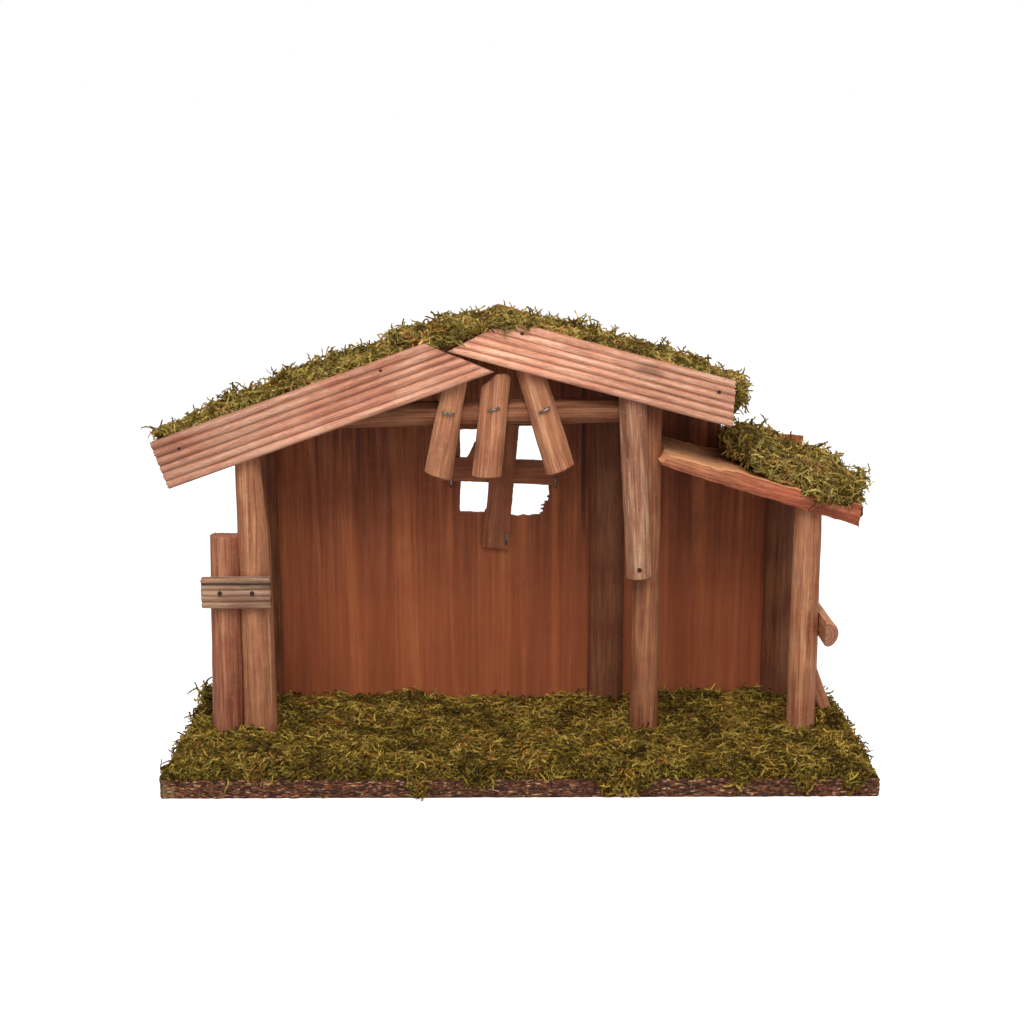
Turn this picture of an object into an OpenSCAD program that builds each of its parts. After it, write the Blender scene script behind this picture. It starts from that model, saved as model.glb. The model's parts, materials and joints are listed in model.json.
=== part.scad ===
// Wooden nativity stable: an open-fronted shed of split sticks with a lean-to, standing on a mossy board.
// X runs to the right, Y to the back, Z up. The origin is the middle of the base board's underside.

/* [Base board] */
// Width of the base board
base_w = 320; // [300:5:380]
// Depth of the base board, front to back
base_d = 110; // [104:1:135]
// Thickness of the base board
base_t = 8.5; // [6:0.5:12]
// Bevel worn on the base board's upright corners
base_bevel = 1.2; // [0.4:0.2:3]
// Open ground in front of the posts
porch_d = 48; // [40:1:52]

/* [Posts] */
// Width of the left front post
left_post_w = 15.6; // [12:0.4:18]
// Width of the other front posts
post_w = 13.4; // [11:0.2:16]
// Depth of a front post, from its round face to its sawn flat
post_d = 11; // [9:0.5:12]
// How much narrower a post is at its top
post_taper = 0.8; // [0:0.2:2]
// Width of a back post
back_post_w = 18.3; // [14:0.1:20]
// Depth of a back post
back_post_d = 8; // [6:0.5:10]
// Base board's left edge to the middle of the left front post
left_post_in = 36.8; // [32:0.4:42]
// Base board's right edge to the outside of the right front post
right_post_in = 18.4; // [15:0.2:24]
// Middle of the middle front post to the middle of the right front post
lean_room_w = 74.4; // [66:0.4:84]
// Middle of the middle back post to the middle of the middle front post
back_post_step = 16; // [12:0.5:24]

/* [Back wall] */
// Thickness of the back wall
wall_t = 3; // [2:0.5:5]
// Base board's left edge to the wall's left edge
wall_left_in = 23; // [19:0.5:27]
// How far the wall stands above the main roof boards
wall_rise = 4; // [1:0.5:8]
// How far the wall's right end stands above the lean-to board's underside line
lean_wall_rise = 27; // [20:1:32]
// Slope of the wall's top above the lean-to in degrees
lean_wall_pitch = 6; // [0:0.5:14]

/* [Main roof] */
// Height of the ridge, on top of the roof boards
ridge_z = 207; // [195:1:220]
// Ridge to the middle of the middle front post
ridge_to_post = 68.5; // [60:0.5:76]
// Slope of the left roof in degrees
left_pitch = 19.6; // [17:0.2:22]
// Slope of the right roof in degrees
right_pitch = 15; // [13:0.5:17]
// Thickness of a main roof board
roof_t = 4.4; // [3:0.2:6]
// Left roof past the middle of the left front post
left_eave = 42; // [34:1:48]
// Right roof past the middle of the middle front post
right_eave = 37.5; // [30:0.5:44]

/* [Lean-to roof] */
// Slope of the lean-to roof in degrees
lean_pitch = 18.4; // [15:0.2:21]
// Lean-to board's underside below the main roof's, at its inner end
lean_drop = 38.8; // [32:0.2:46]
// Thickness of the lean-to board at its inner end
lean_t_in = 5.2; // [4:0.2:8]
// Thickness of the lean-to board at its outer end
lean_t_out = 9; // [6:0.2:11]
// Lean-to roof past the outside of the right front post
lean_eave = 15.4; // [10:0.2:22]

/* [Combed fascia strips] */
// Width of a fascia strip
strip_w = 20.6; // [17:0.2:25]
// Thickness of a fascia strip over its ridges
strip_t = 4; // [3:0.2:6]
// Height of the combed ridges
comb_h = 1.3; // [0.6:0.1:1.8]
// Number of ridges across a fascia strip
comb_n = 6; // [4:1:9]
// How far a fascia strip stands above the roof board
fascia_proud = 2.2; // [1:0.2:4]
// Angle of the open wedge between the two strips at the ridge
wedge_angle = 7.7; // [4:0.1:12]
// How far the right strip's sloping end lies below the left roof
ridge_cut_drop = 3.4; // [1:0.2:6]

/* [Beam, slats and log] */
// Height of the tie beam
beam_h = 9.4; // [7:0.2:12]
// Depth of the tie beam
beam_d = 8; // [6:0.5:10]
// Tie beam's middle below the left roof, at the left front post
beam_drop = 4.2; // [3:0.1:8]
// Slope of the tie beam in degrees, rising to the right
beam_tilt = 2; // [0:0.5:3]
// Width of a hanging slat at its foot
slat_w = 13.6; // [10:0.2:15]
// Thickness of the slats and of the short log
slat_t = 6; // [4:0.5:8]
// Length of the left slat
left_slat_l = 45; // [41:0.5:49]
// Length of the slat below the ridge
centre_slat_l = 47; // [43:0.5:50]
// Length of the right slat
right_slat_l = 47; // [43:0.5:50]
// Width of the short log in front of the middle post
log_w = 12.8; // [10:0.2:15]
// Height of the short log's foot above the ground
log_foot_z = 87.4; // [70:0.2:110]
// Lean of the short log in degrees
log_tilt = 2.8; // [0:0.2:4]

/* [Window and cross] */
// Width of the window opening
window_w = 44; // [36:1:52]
// Height of the window opening
window_h = 45.4; // [38:0.2:50]
// Height of the window sill above the ground
sill_z = 105.6; // [95:0.2:112]
// Width of the cross's upright
upright_w = 11.8; // [9:0.2:14]
// Width of the cross's arm
arm_w = 12.2; // [9:0.2:14]
// Thickness of the cross's strips
cross_t = 2.4; // [1.6:0.2:4]
// Lean of the upright in degrees
upright_tilt = 5.2; // [0:0.2:6]

/* [Fence and side sticks] */
// Width of the fence post
fence_w = 12.4; // [10:0.2:15]
// Height of the fence post above the ground
fence_z = 107; // [90:1:125]
// Lean of the fence post in degrees
fence_tilt = 1.4; // [0:0.2:2]
// Width of the fence rail
rail_w = 14.4; // [11:0.2:18]
// Height of the fence rail's lower edge above the ground
rail_z = 75.6; // [50:0.2:86]
// Height of the side rail's section
side_rail_h = 12; // [9:0.5:15]
// Thickness of the side rail
side_rail_t = 6; // [4:0.5:8]
// Height of the side rail's middle above the ground
side_rail_z = 64.5; // [50:0.5:80]
// Width of the leaning side stick
prop_w = 8; // [6:0.5:10]
// Height of the side stick's upper end, behind the middle of the post
prop_z = 50; // [36:1:52]
// Lean of the side stick in degrees
prop_tilt = 21; // [14:0.5:22]

/* [Moss] */
// Usual height of the moss on the base board
ground_moss_h = 9; // [6:0.5:12]
// Usual height of the moss on the left roof
left_moss_h = 9; // [6:0.5:12]
// Usual height of the moss on the right roof
right_moss_h = 6.5; // [4:0.5:12]
// Usual height of the moss on the lean-to
lean_moss_h = 14; // [8:0.5:16]
// How far the moss hangs past the front edges
moss_over = 3.2; // [1.5:0.2:5]
// How far the moss hangs past the base board's ends
moss_past = 0.5; // [0.3:0.1:2]

/* [Hidden] */
$fn = 48;

// Fits: gap is the air between pieces that only lie beside each other, over is how far a cut runs past a face
gap = 0.2;
over = 5;
reach = 2 * (base_w + ridge_z);

// Colours of the woods, the moss and the steel
strip_colour = "#c99a82";
stick_colour = "#a9775c";
board_colour = "#8a5236";
fibre_colour = "#5f4133";
moss_colour = "#6f6d33";
steel_colour = "#9a9a98";

// Planes and post places
front_y = -base_d / 2 + porch_d;
wall_y = base_d / 2 - wall_t;
back_y = wall_y - back_post_d;
post_y_mid = front_y + post_d / 2;
back_y_mid = back_y + back_post_d / 2;
left_x = -base_w / 2 + left_post_in;
right_side = base_w / 2 - right_post_in;
right_x = right_side - post_w / 2;
middle_x = right_x - lean_room_w;
ridge_x = middle_x - ridge_to_post;
wall_left = -base_w / 2 + wall_left_in;
wall_right = right_side;
left_back_x = wall_left + back_post_w / 2;
middle_back_x = middle_x - back_post_step;
right_back_x = wall_right - back_post_w / 2;
roof_left = left_x - left_eave;
roof_right = middle_x + right_eave;
lean_x = middle_x + post_w / 2 + gap;
lean_right = right_side + lean_eave;
fence_foot_x = left_x - (left_post_w + fence_w) / 2 - gap - (fence_z - base_t) * tan(fence_tilt);

// Nails, brads and staples
nail_r = 0.8;
nail_head_r = 1.7;
nail_head_t = 0.7;
nail_bite = 14;
brad_r = 0.7;
brad_head_r = 1.1;
brad_head_t = 0.6;
brad_l = 12;
staple_w = 5;
staple_wire = 0.9;
staple_sink = 0.4;
staple_bite = 3;

// Heights of the roof lines at a place along X
function left_top(x) = ridge_z - (ridge_x - x) * tan(left_pitch);
function right_top(x) = ridge_z - (x - ridge_x) * tan(right_pitch);
function left_under(x) = left_top(x) - roof_t / cos(left_pitch);
function right_under(x) = right_top(x) - roof_t / cos(right_pitch);
lean_z = right_under(lean_x) - lean_drop;
function lean_under(x) = lean_z - (x - lean_x) * tan(lean_pitch);
function lean_thick(x) = lean_t_in + (lean_t_out - lean_t_in) * (x - lean_x) / (lean_right - lean_x);
function lean_top(x) = lean_under(x) + lean_thick(x) / cos(lean_pitch);

// A flat outline in X and Z, as thick as the space between two planes of Y
module slab(y0, y1, outline) {
    translate([0, y1, 0])
        rotate([90, 0, 0])
            linear_extrude(y1 - y0)
                polygon(outline);
}

// A stick split from a branch: round towards -Y with its front on y = 0, sawn flat at the back, standing on z = 0
module split_stick(w_foot, w_top, depth, len) {
    intersection() {
        translate([0, w_foot / 2, 0])
            cylinder(d1 = w_foot, d2 = w_top, h = len);
        translate([-w_foot, -w_foot, -over])
            cube([2 * w_foot, w_foot + depth, len + 2 * over]);
    }
}

// A wire staple: its crown lies along X on y = 0, sunk a little, and its legs run to +Y
module staple(leg) {
    translate([-staple_w / 2, staple_sink - staple_wire, -staple_wire / 2])
        cube([staple_w, staple_wire, staple_wire]);
    for (side = [-1, 1])
        translate([side * (staple_w - staple_wire) / 2 - staple_wire / 2, 0, -staple_wire / 2])
            cube([staple_wire, leg, staple_wire]);
}

// A round nail with its head on z = 0 and its shank running up. As a cut, the head runs out past the face
module nail(r, head_r, head_t, len, past = 0) {
    cylinder(r = r, h = len);
    translate([0, 0, -past])
        cylinder(r = head_r, h = head_t + past);
}

// Base board

// Where a nail comes up through the board, under the middle of each upright stick
function base_nail_places() = [
    [left_x, post_y_mid],
    [middle_x, post_y_mid + slat_t],
    [right_x, post_y_mid],
    [left_back_x, back_y_mid],
    [middle_back_x, back_y_mid],
    [right_back_x, back_y_mid],
    [fence_foot_x, post_y_mid]];

module base_nail_set(past = 0) {
    for (p = base_nail_places())
        translate([p[0], p[1], 0])
            nail(nail_r, nail_head_r, nail_head_t, base_t + nail_bite, past);
}

module base_board() {
    w = base_w / 2;
    d = base_d / 2;
    b = base_bevel;
    color(fibre_colour)
        difference() {
            linear_extrude(base_t)
                polygon([[-w + b, -d], [w - b, -d], [w, -d + b], [w, d - b],
                         [w - b, d], [-w + b, d], [-w, d - b], [-w, -d + b]]);
            base_nail_set(over);
        }
}

module base_nails() {
    color(steel_colour) base_nail_set();
}

// Upright sticks

// A post on the base board, cut on top between two heights at its sides, with its children cut out of it too
module cut_post(x, y, w, depth, z_left, z_right) {
    difference() {
        intersection() {
            translate([x, y, base_t])
                split_stick(w, w - post_taper, depth, ridge_z);
            slab(y - over, y + depth + over,
                 [[x - w / 2, 0], [x + w / 2, 0], [x + w / 2, z_right], [x - w / 2, z_left]]);
        }
        base_nail_set(over);
        roof_nail_set(over);
        children();
    }
}

module left_front_post() {
    w = left_post_w;
    color(stick_colour)
        cut_post(left_x, front_y, w, post_d, left_under(left_x - w / 2), left_under(left_x + w / 2))
            rail_brad_set(over);
}

module middle_front_post() {
    w = post_w;
    color(stick_colour)
        cut_post(middle_x, front_y + slat_t, w, post_d,
                 right_under(middle_x - w / 2), right_under(middle_x + w / 2))
            rail_brad_set(over);
}

// The right post was sawn off less steeply than the board on it, so a thin wedge of air shows at its left
post_skew = 6;
module right_front_post() {
    w = post_w;
    z = lean_under(right_side);
    color(stick_colour)
        cut_post(right_x, front_y, w, post_d, z + w * tan(lean_pitch - post_skew), z)
            rail_brad_set(over);
}

module left_back_post() {
    w = back_post_w;
    color(stick_colour)
        cut_post(left_back_x, back_y, w, back_post_d,
                 left_under(left_back_x - w / 2), left_under(left_back_x + w / 2))
            wall_staple_set();
}

module middle_back_post() {
    w = back_post_w;
    color(stick_colour)
        cut_post(middle_back_x, back_y, w, back_post_d,
                 right_under(middle_back_x - w / 2), right_under(middle_back_x + w / 2))
            wall_staple_set();
}

module right_back_post() {
    w = back_post_w;
    color(stick_colour)
        cut_post(right_back_x, back_y, w, back_post_d,
                 lean_under(right_back_x - w / 2), lean_under(right_back_x + w / 2)) {
            rail_brad_set(over);
            wall_staple_set();
        }
}

// Back wall with its window

window_shift = 1.6;
window_x = ridge_x + window_shift;
window_left = window_x - window_w / 2;
window_right = window_x + window_w / 2;
window_top = sill_z + window_h;
lean_step = 4;

// The opening is broken away in splinters at its lower right, as shares of its own size
chip_shares = [[0.88, 0], [0.87, 0.13], [0.93, 0.1], [0.92, 0.24], [0.98, 0.2], [0.97, 0.36], [1, 0.4]];

module window_outline() {
    polygon(concat([[window_left, window_top], [window_left, sill_z]],
                   [for (s = chip_shares) [window_left + s[0] * window_w, sill_z + s[1] * window_h]],
                   [[window_right, window_top]]));
}

module back_wall() {
    peak_z = ridge_z + wall_rise;
    step_x = roof_right - lean_step;
    end_z = lean_under(wall_right) + lean_wall_rise;
    color(board_colour)
        difference() {
            translate([0, wall_y + wall_t, 0])
                rotate([90, 0, 0])
                    linear_extrude(wall_t)
                        difference() {
                            polygon([[wall_left, base_t],
                                     [wall_right, base_t],
                                     [wall_right, end_z],
                                     [step_x, end_z + (wall_right - step_x) * tan(lean_wall_pitch)],
                                     [step_x, right_top(step_x) + wall_rise],
                                     [ridge_x, peak_z],
                                     [wall_left, left_top(wall_left) + wall_rise]]);
                            window_outline();
                        }
            cross_staple_set();
            wall_staple_set();
        }
}

// Staples through the back of the wall: three into each back post and two into each roof board's edge
function wall_staple_places() = concat(
    [for (x = [left_back_x, middle_back_x, right_back_x])
        for (s = staple_height_shares)
            [x, base_t + s * (lean_under(right_back_x) - base_t), 90]],
    [for (x = [left_x, ridge_x - left_eave]) [x, left_under(x) + roof_t / 2, -left_pitch]],
    [for (x = [ridge_x + right_eave, middle_x]) [x, right_under(x) + roof_t / 2, right_pitch]],
    [for (x = [lean_x + lean_step, right_x]) [x, lean_under(x) + lean_t_in / 2, lean_pitch]]);
staple_height_shares = [0.12, 0.5, 0.86];

module wall_staple_set() {
    for (p = wall_staple_places())
        translate([p[0], wall_y + wall_t, p[1]])
            rotate([0, p[2], 0])
                mirror([0, 1, 0])
                    staple(wall_t + staple_bite);
}

module wall_staples() {
    color(steel_colour) wall_staple_set();
}

// Cross over the window: the arm lies on the wall, and the upright lies over the arm with its foot on the wall

arm_share = 0.535;
arm_lap_left = 6.6;
arm_lap_right = 4.6;
upright_lap = 15.8;
upright_top = 2.8;
upright_shift = 4.6;
arm_z = sill_z + arm_share * window_h;
arm_left = window_left - arm_lap_left;
arm_right = window_right + arm_lap_right;
upright_foot_z = sill_z - upright_lap;
upright_foot_x = window_x - upright_shift;
upright_l = (window_top - upright_foot_z) / cos(upright_tilt) + upright_top;
lean_back = atan(cross_t / (arm_z - arm_w / 2 - upright_foot_z));

module place_upright() {
    translate([upright_foot_x, wall_y, upright_foot_z])
        rotate([lean_back, upright_tilt, 0])
            children();
}

module cross_arm() {
    color(board_colour)
        difference() {
            translate([arm_left, wall_y - cross_t, arm_z - arm_w / 2])
                cube([arm_right - arm_left, cross_t, arm_w]);
            cross_staple_set();
        }
}

module cross_upright() {
    color(board_colour)
        difference() {
            place_upright()
                translate([-upright_w / 2, -cross_t, 0])
                    cube([upright_w, cross_t, upright_l]);
            cross_staple_set();
        }
}

staple_in = 2;
module cross_staple_set() {
    leg = cross_t + wall_t - gap;
    for (x = [arm_left + staple_in, arm_right - staple_in])
        translate([x, wall_y - cross_t, arm_z])
            rotate([0, 90, 0])
                staple(leg);
    place_upright()
        translate([upright_w / 2 - staple_in, -cross_t, 3 * staple_in + staple_w / 2])
            rotate([0, 90, 0])
                staple(leg);
}

module cross_staples() {
    color(steel_colour) cross_staple_set();
}

// Tie beam between the left front post and the middle front post, cut off where it meets the left roof board

beam_y = front_y + slat_t;
beam_left = left_x + left_post_w / 2;
beam_right = middle_x - post_w / 2;
function beam_z(x) = left_under(beam_left) - beam_drop + (x - beam_left) * tan(beam_tilt);

module tie_beam() {
    x0 = beam_left;
    x1 = beam_right;
    len = x1 - x0 + 2 * over;
    color(stick_colour)
        difference() {
            intersection() {
                translate([x0 - over, beam_y, beam_z(x0 - over)])
                    rotate([0, 90 - beam_tilt, 0])
                        split_stick(beam_h + post_taper, beam_h - post_taper, beam_d, len / cos(beam_tilt));
                slab(beam_y - over, beam_y + beam_d + over,
                     [[x0, 0], [x1, 0], [x1, ridge_z], [ridge_x, left_under(ridge_x)], [x0, left_under(x0)]]);
            }
            translate([left_x, front_y, 0])
                split_stick(left_post_w + gap, left_post_w + gap, post_d, reach);
            translate([middle_x, front_y + slat_t, 0])
                split_stick(post_w + gap, post_w + gap, post_d, reach);
            slat_staple_set();
        }
}

// Hanging slats, left to right. A foot's step to the right of the ridge is a share of the ridge's distance to the
// middle post, its drop is the share of the slat below the beam's middle, and its top is a share of its width
slat_foot_shares = [-0.423, -0.093, 0.412];
slat_drop_shares = [0.609, 0.591, 0.528];
slat_top_shares = [0.9, 0.78, 0.97];
slat_lengths = [left_slat_l, centre_slat_l, right_slat_l];
slat_tilts = [10.5, 6.5, -17.6];
slat_end_angles = [6, -7, -3];
function slat_step(i) = slat_foot_shares[i] * ridge_to_post;
function slat_drop(i) = slat_drop_shares[i] * slat_lengths[i];

module place_slat(i) {
    translate([ridge_x + slat_step(i), front_y, beam_z(ridge_x) - slat_drop(i)])
        rotate([0, slat_tilts[i], 0])
            children();
}

// Along a slat, the beam's middle lies this far from the foot
function slat_hang(i) = (slat_drop(i) + slat_step(i) * tan(beam_tilt)) / cos(slat_tilts[i]);

module hanging_slat(i) {
    foot = slat_w;
    top = slat_w * slat_top_shares[i];
    color(stick_colour)
        difference() {
            place_slat(i)
                difference() {
                    split_stick(foot, top, slat_t, slat_lengths[i]);
                    rotate([0, slat_end_angles[i], 0])
                        translate([-foot, -over, -2 * foot])
                            cube([2 * foot, slat_t + 2 * over, 2 * foot]);
                }
            slat_staple_set();
        }
}

module slat_staple_set() {
    for (i = [0 : len(slat_tilts) - 1])
        place_slat(i)
            translate([0, slat_front(i), slat_hang(i)])
                staple(slat_t - slat_front(i) + staple_bite);
}

// The slat narrows upwards, so its round face falls back a little at the staple
function slat_front(i) = slat_w * (1 - slat_top_shares[i]) / 2 * slat_hang(i) / slat_lengths[i];

module left_slat() hanging_slat(0);
module centre_slat() hanging_slat(1);
module right_slat() hanging_slat(2);

module slat_staples() {
    color(steel_colour) slat_staple_set();
}

// Short half-round log nailed over the middle front post, from the roof down to half height
log_shift = 3.9;
log_foot_x = middle_x - log_shift;
log_brad_up = 5;

module front_log() {
    x = log_foot_x;
    w = log_w;
    color(stick_colour)
        difference() {
            intersection() {
                translate([x, front_y, log_foot_z])
                    rotate([0, -log_tilt, 0])
                        split_stick(w - post_taper, w, slat_t, ridge_z);
                slab(front_y - over, front_y + slat_t + over,
                     [[x - 2 * w, 0], [x + 2 * w, 0], [x + 2 * w, right_under(x + 2 * w)],
                      [x - 2 * w, right_under(x - 2 * w)]]);
            }
            rail_brad_set(over);
        }
}

// Roof boards

// An arm of the roof as an outline: from the ridge to an end that is square to the slope
function left_end(p) = roof_left + p * sin(left_pitch);
function right_end(p) = roof_right - p * sin(right_pitch);

module left_roof_board() {
    drop = roof_t * cos(left_pitch);
    color(board_colour)
        difference() {
            slab(front_y, wall_y,
                 [[ridge_x, ridge_z], [roof_left, left_top(roof_left)],
                  [left_end(roof_t), left_top(roof_left) - drop], [ridge_x, left_under(ridge_x)]]);
            roof_nail_set(over);
            fascia_brad_set(over);
            wall_staple_set();
        }
}

module right_roof_board() {
    drop = roof_t * cos(right_pitch);
    color(board_colour)
        difference() {
            slab(front_y, wall_y,
                 [[ridge_x, ridge_z], [ridge_x, right_under(ridge_x)],
                  [right_end(roof_t), right_top(roof_right) - drop], [roof_right, right_top(roof_right)]]);
            roof_nail_set(over);
            fascia_brad_set(over);
            wall_staple_set();
        }
}

// A waney offcut that thickens towards its outer end; its front edge lines up with the fascia strips
lean_bow_share = 0.35;
lean_bow = 0.8;
module lean_to_board() {
    bow_x = lean_x + lean_bow_share * (lean_right - lean_x);
    end_x = lean_right - lean_t_out * sin(lean_pitch) / 2;
    color(board_colour)
        difference() {
            slab(front_y - strip_t, wall_y,
                 [[lean_x, lean_z], [end_x, lean_under(end_x)], [lean_right, lean_top(lean_right)],
                  [bow_x, lean_top(bow_x) + lean_bow], [lean_x, lean_top(lean_x)]]);
            roof_nail_set(over);
            wall_staple_set();
        }
}

// Roof nails, driven square through the boards into the tops of the posts
function roof_nail_places() = concat(
    [for (p = [[left_x, post_y_mid], [left_back_x, back_y_mid]])
        [p[0], p[1], left_top(p[0]), -left_pitch]],
    [for (p = [[middle_x, post_y_mid + slat_t], [middle_back_x, back_y_mid]])
        [p[0], p[1], right_top(p[0]), right_pitch]],
    [for (p = [[right_x, post_y_mid], [right_back_x, back_y_mid]])
        [p[0], p[1], lean_top(p[0]), lean_pitch]]);

module roof_nail_set(past = 0) {
    for (p = roof_nail_places())
        translate([p[0], p[1], p[2]])
            rotate([0, 180 + p[3], 0])
                nail(nail_r, nail_head_r, nail_head_t, lean_t_out + nail_bite, past);
}

module roof_nails() {
    color(steel_colour) roof_nail_set();
}

// Combed strips: a flat back with a row of rounded ridges on the front

comb_steps = 6;

// Section of a strip: u across its width, v its thickness, with the ridges towards -v
function comb_outline(w, n) = concat(
    [[0, 0]],
    [for (i = [0 : n * comb_steps])
        let (a = 180 * i / comb_steps)
            [w * i / (n * comb_steps), comb_h - strip_t - comb_h * pow(abs(sin(a)), comb_round)]],
    [[w, 0]]);
comb_round = 0.75;

// A combed strip along +X from x = 0, its back on y = 0 and its lower edge on z = 0
module combed_strip(len, w, n) {
    rotate([90, 0, 90])
        linear_extrude(len)
            polygon([for (p = comb_outline(w, n)) [p[1], p[0]]]);
}

// The right strip's lower edge meets its sloping end in a tip, and the left strip's mitre starts under that tip
function right_low(x) = right_top(x) + (fascia_proud - strip_w) / cos(right_pitch);
function left_cut(x) = left_top(x) - ridge_cut_drop / cos(left_pitch);
tip_x = (right_low(0) - left_cut(0)) / (tan(left_pitch) + tan(right_pitch));
tip_z = left_cut(tip_x);

module left_fascia() {
    mitre = right_pitch + wedge_angle;
    color(strip_colour)
        difference() {
            translate([roof_left, front_y, left_top(roof_left)])
                rotate([0, -left_pitch, 0])
                    translate([0, 0, fascia_proud - strip_w])
                        combed_strip(reach, strip_w, comb_n);
            translate([tip_x, front_y - strip_t - over, tip_z])
                rotate([0, mitre, 0])
                    translate([-reach, 0, -gap])
                        cube([3 * reach, strip_t + 2 * over, reach]);
            fascia_brad_set(over);
        }
}

module right_fascia() {
    color(strip_colour)
        difference() {
            translate([roof_right, front_y, right_top(roof_right)])
                rotate([0, right_pitch, 0])
                    translate([-reach, 0, fascia_proud - strip_w])
                        combed_strip(reach, strip_w, comb_n);
            translate([tip_x, front_y - strip_t - over, tip_z])
                rotate([0, -left_pitch, 0])
                    translate([-2 * reach, 0, 0])
                        cube([4 * reach, strip_t + 2 * over, 2 * reach]);
            fascia_brad_set(over);
        }
}

// Brads through the strips into the front edges of the roof boards
brad_in = 12;
brad_share = 0.653;
function left_edge_place(x) = [x, (left_top(x) + left_under(x)) / 2];
function right_edge_place(x) = [x, (right_top(x) + right_under(x)) / 2];
function fascia_brad_places() = [
    left_edge_place(roof_left + brad_in),
    left_edge_place(roof_left + brad_share * (ridge_x - roof_left)),
    right_edge_place(ridge_x + brad_in),
    right_edge_place(roof_right - brad_in)];

module fascia_brad_set(past = 0) {
    for (p = fascia_brad_places())
        translate([p[0], front_y - strip_t, p[1]])
            rotate([-90, 0, 0])
                nail(brad_r, brad_head_r, comb_h + brad_head_t, brad_l, past);
}

module fascia_brads() {
    color(steel_colour) fascia_brad_set();
}

// Fence on the left, and the rail and stick on the right side

module fence_post() {
    x = fence_foot_x;
    color(stick_colour)
        difference() {
            intersection() {
                translate([x, front_y, base_t])
                    rotate([0, fence_tilt, 0])
                        translate([0, 0, -over])
                            split_stick(fence_w, fence_w, post_d, fence_z + over - base_t);
                translate([x - reach / 2, front_y - over, base_t])
                    cube([reach, post_d + 2 * over, reach]);
            }
            base_nail_set(over);
            rail_brad_set(over);
        }
}

rail_past = 1;
rail_left = fence_foot_x - fence_w / 2 - rail_past;
rail_right = left_x + left_post_w / 2 + rail_past;
rail_comb_n = round(comb_n * rail_w / strip_w);

module fence_rail() {
    color(strip_colour)
        difference() {
            translate([rail_left, front_y, rail_z])
                combed_strip(rail_right - rail_left, rail_w, rail_comb_n);
            rail_brad_set(over);
        }
}

side_rail_past = 12;
module side_rail() {
    color(stick_colour)
        difference() {
            translate([right_side + side_rail_t, front_y - side_rail_past, side_rail_z])
                rotate([-90, 90, 0])
                    split_stick(side_rail_h, side_rail_h, side_rail_t, base_d / 2 - front_y + side_rail_past);
            rail_brad_set(over);
        }
}

// The side stick leans to the left behind the right front post, with its sawn flat on the post's
prop_d = 6;
prop_y = front_y + post_d + prop_d;
prop_foot_x = right_x + (prop_z - base_t) * tan(prop_tilt);
prop_brad_up = 32;

module side_prop() {
    len = (prop_z - base_t) / cos(prop_tilt);
    color(stick_colour)
        difference() {
            intersection() {
                translate([prop_foot_x, prop_y, base_t])
                    rotate([0, -prop_tilt, 0])
                        translate([0, 0, -over])
                            mirror([0, 1, 0])
                                split_stick(prop_w, prop_w, prop_d, len + over);
                translate([0, front_y, base_t])
                    cube([reach, base_d, reach]);
            }
            rail_brad_set(over);
        }
}

// Brads with their heads a little proud: through the short log into the middle post, the fence rail into its
// two posts, the side rail into the right posts, and the side stick into the right front post
module rail_brad_set(past = 0) {
    translate([log_foot_x - log_brad_up * tan(log_tilt), front_y - brad_head_t / 2, log_foot_z + log_brad_up])
        rotate([-90, 0, 0])
            nail(brad_r, brad_head_r, brad_head_t, brad_l, past);
    translate([prop_foot_x - prop_brad_up * tan(prop_tilt), prop_y + brad_head_t / 2, base_t + prop_brad_up])
        rotate([90, 0, 0])
            nail(brad_r, brad_head_r, brad_head_t, brad_l, past);
    for (x = [fence_foot_x + (rail_z - base_t) * tan(fence_tilt), left_x])
        translate([x, front_y - strip_t, rail_z + rail_w / 2])
            rotate([-90, 0, 0])
                nail(brad_r, brad_head_r, comb_h + brad_head_t, brad_l, past);
    for (y = [front_y + left_post_w / 2, back_y_mid])
        translate([right_side + side_rail_t + brad_head_t / 2, y, side_rail_z])
            rotate([0, -90, 0])
                nail(brad_r, brad_head_r, brad_head_t, brad_l, past);
}

module rail_brads() {
    color(steel_colour) rail_brad_set();
}

// Moss: each mat is a skin of rings, one ring per step along it, closed at both ends

// Bumps that never repeat within the model, from -1 to 1
function bump(s, t) =
    (sin(s * 7.3 + t * 3.1) + sin(s * 3.7 - t * 8.9 + 40) + sin(s * 17.1 + t * 13.7 + 80)) / 3;

function ring_faces(n, m) = concat(
    [for (i = [0 : n - 2]) for (j = [0 : m - 1])
        let (k = (j + 1) % m) [i * m + j, (i + 1) * m + j, i * m + k]],
    [for (i = [0 : n - 2]) for (j = [0 : m - 1])
        let (k = (j + 1) % m) [i * m + k, (i + 1) * m + j, (i + 1) * m + k]],
    [[for (j = [0 : m - 1]) j]],
    [[for (j = [m - 1 : -1 : 0]) (n - 1) * m + j]]);

module moss_skin(rings) {
    m = len(rings[0]);
    polyhedron(points = [for (r = rings) each r], faces = ring_faces(len(rings), m), convexity = 8);
}

moss_cols = 56;
moss_rows = 12;
bump_h = 1.4;
moss_lip = 1.2;

// Where the moss hangs down the board's front edge, how far it hangs and how wide, as shares of the edge
hang_place_shares = [0.36, 0.44, 0.63, 0.67, 0.9, 0.965];
hang_depth_shares = [0.95, 0.7, 0.8, 0.7, 0.8, 0.8];
hang_span_share = 0.03;
function hang(s) = max([for (i = [0 : len(hang_place_shares) - 1])
    hang_depth_shares[i] * max(0, 1 - abs(s - hang_place_shares[i]) / hang_span_share)]);

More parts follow.
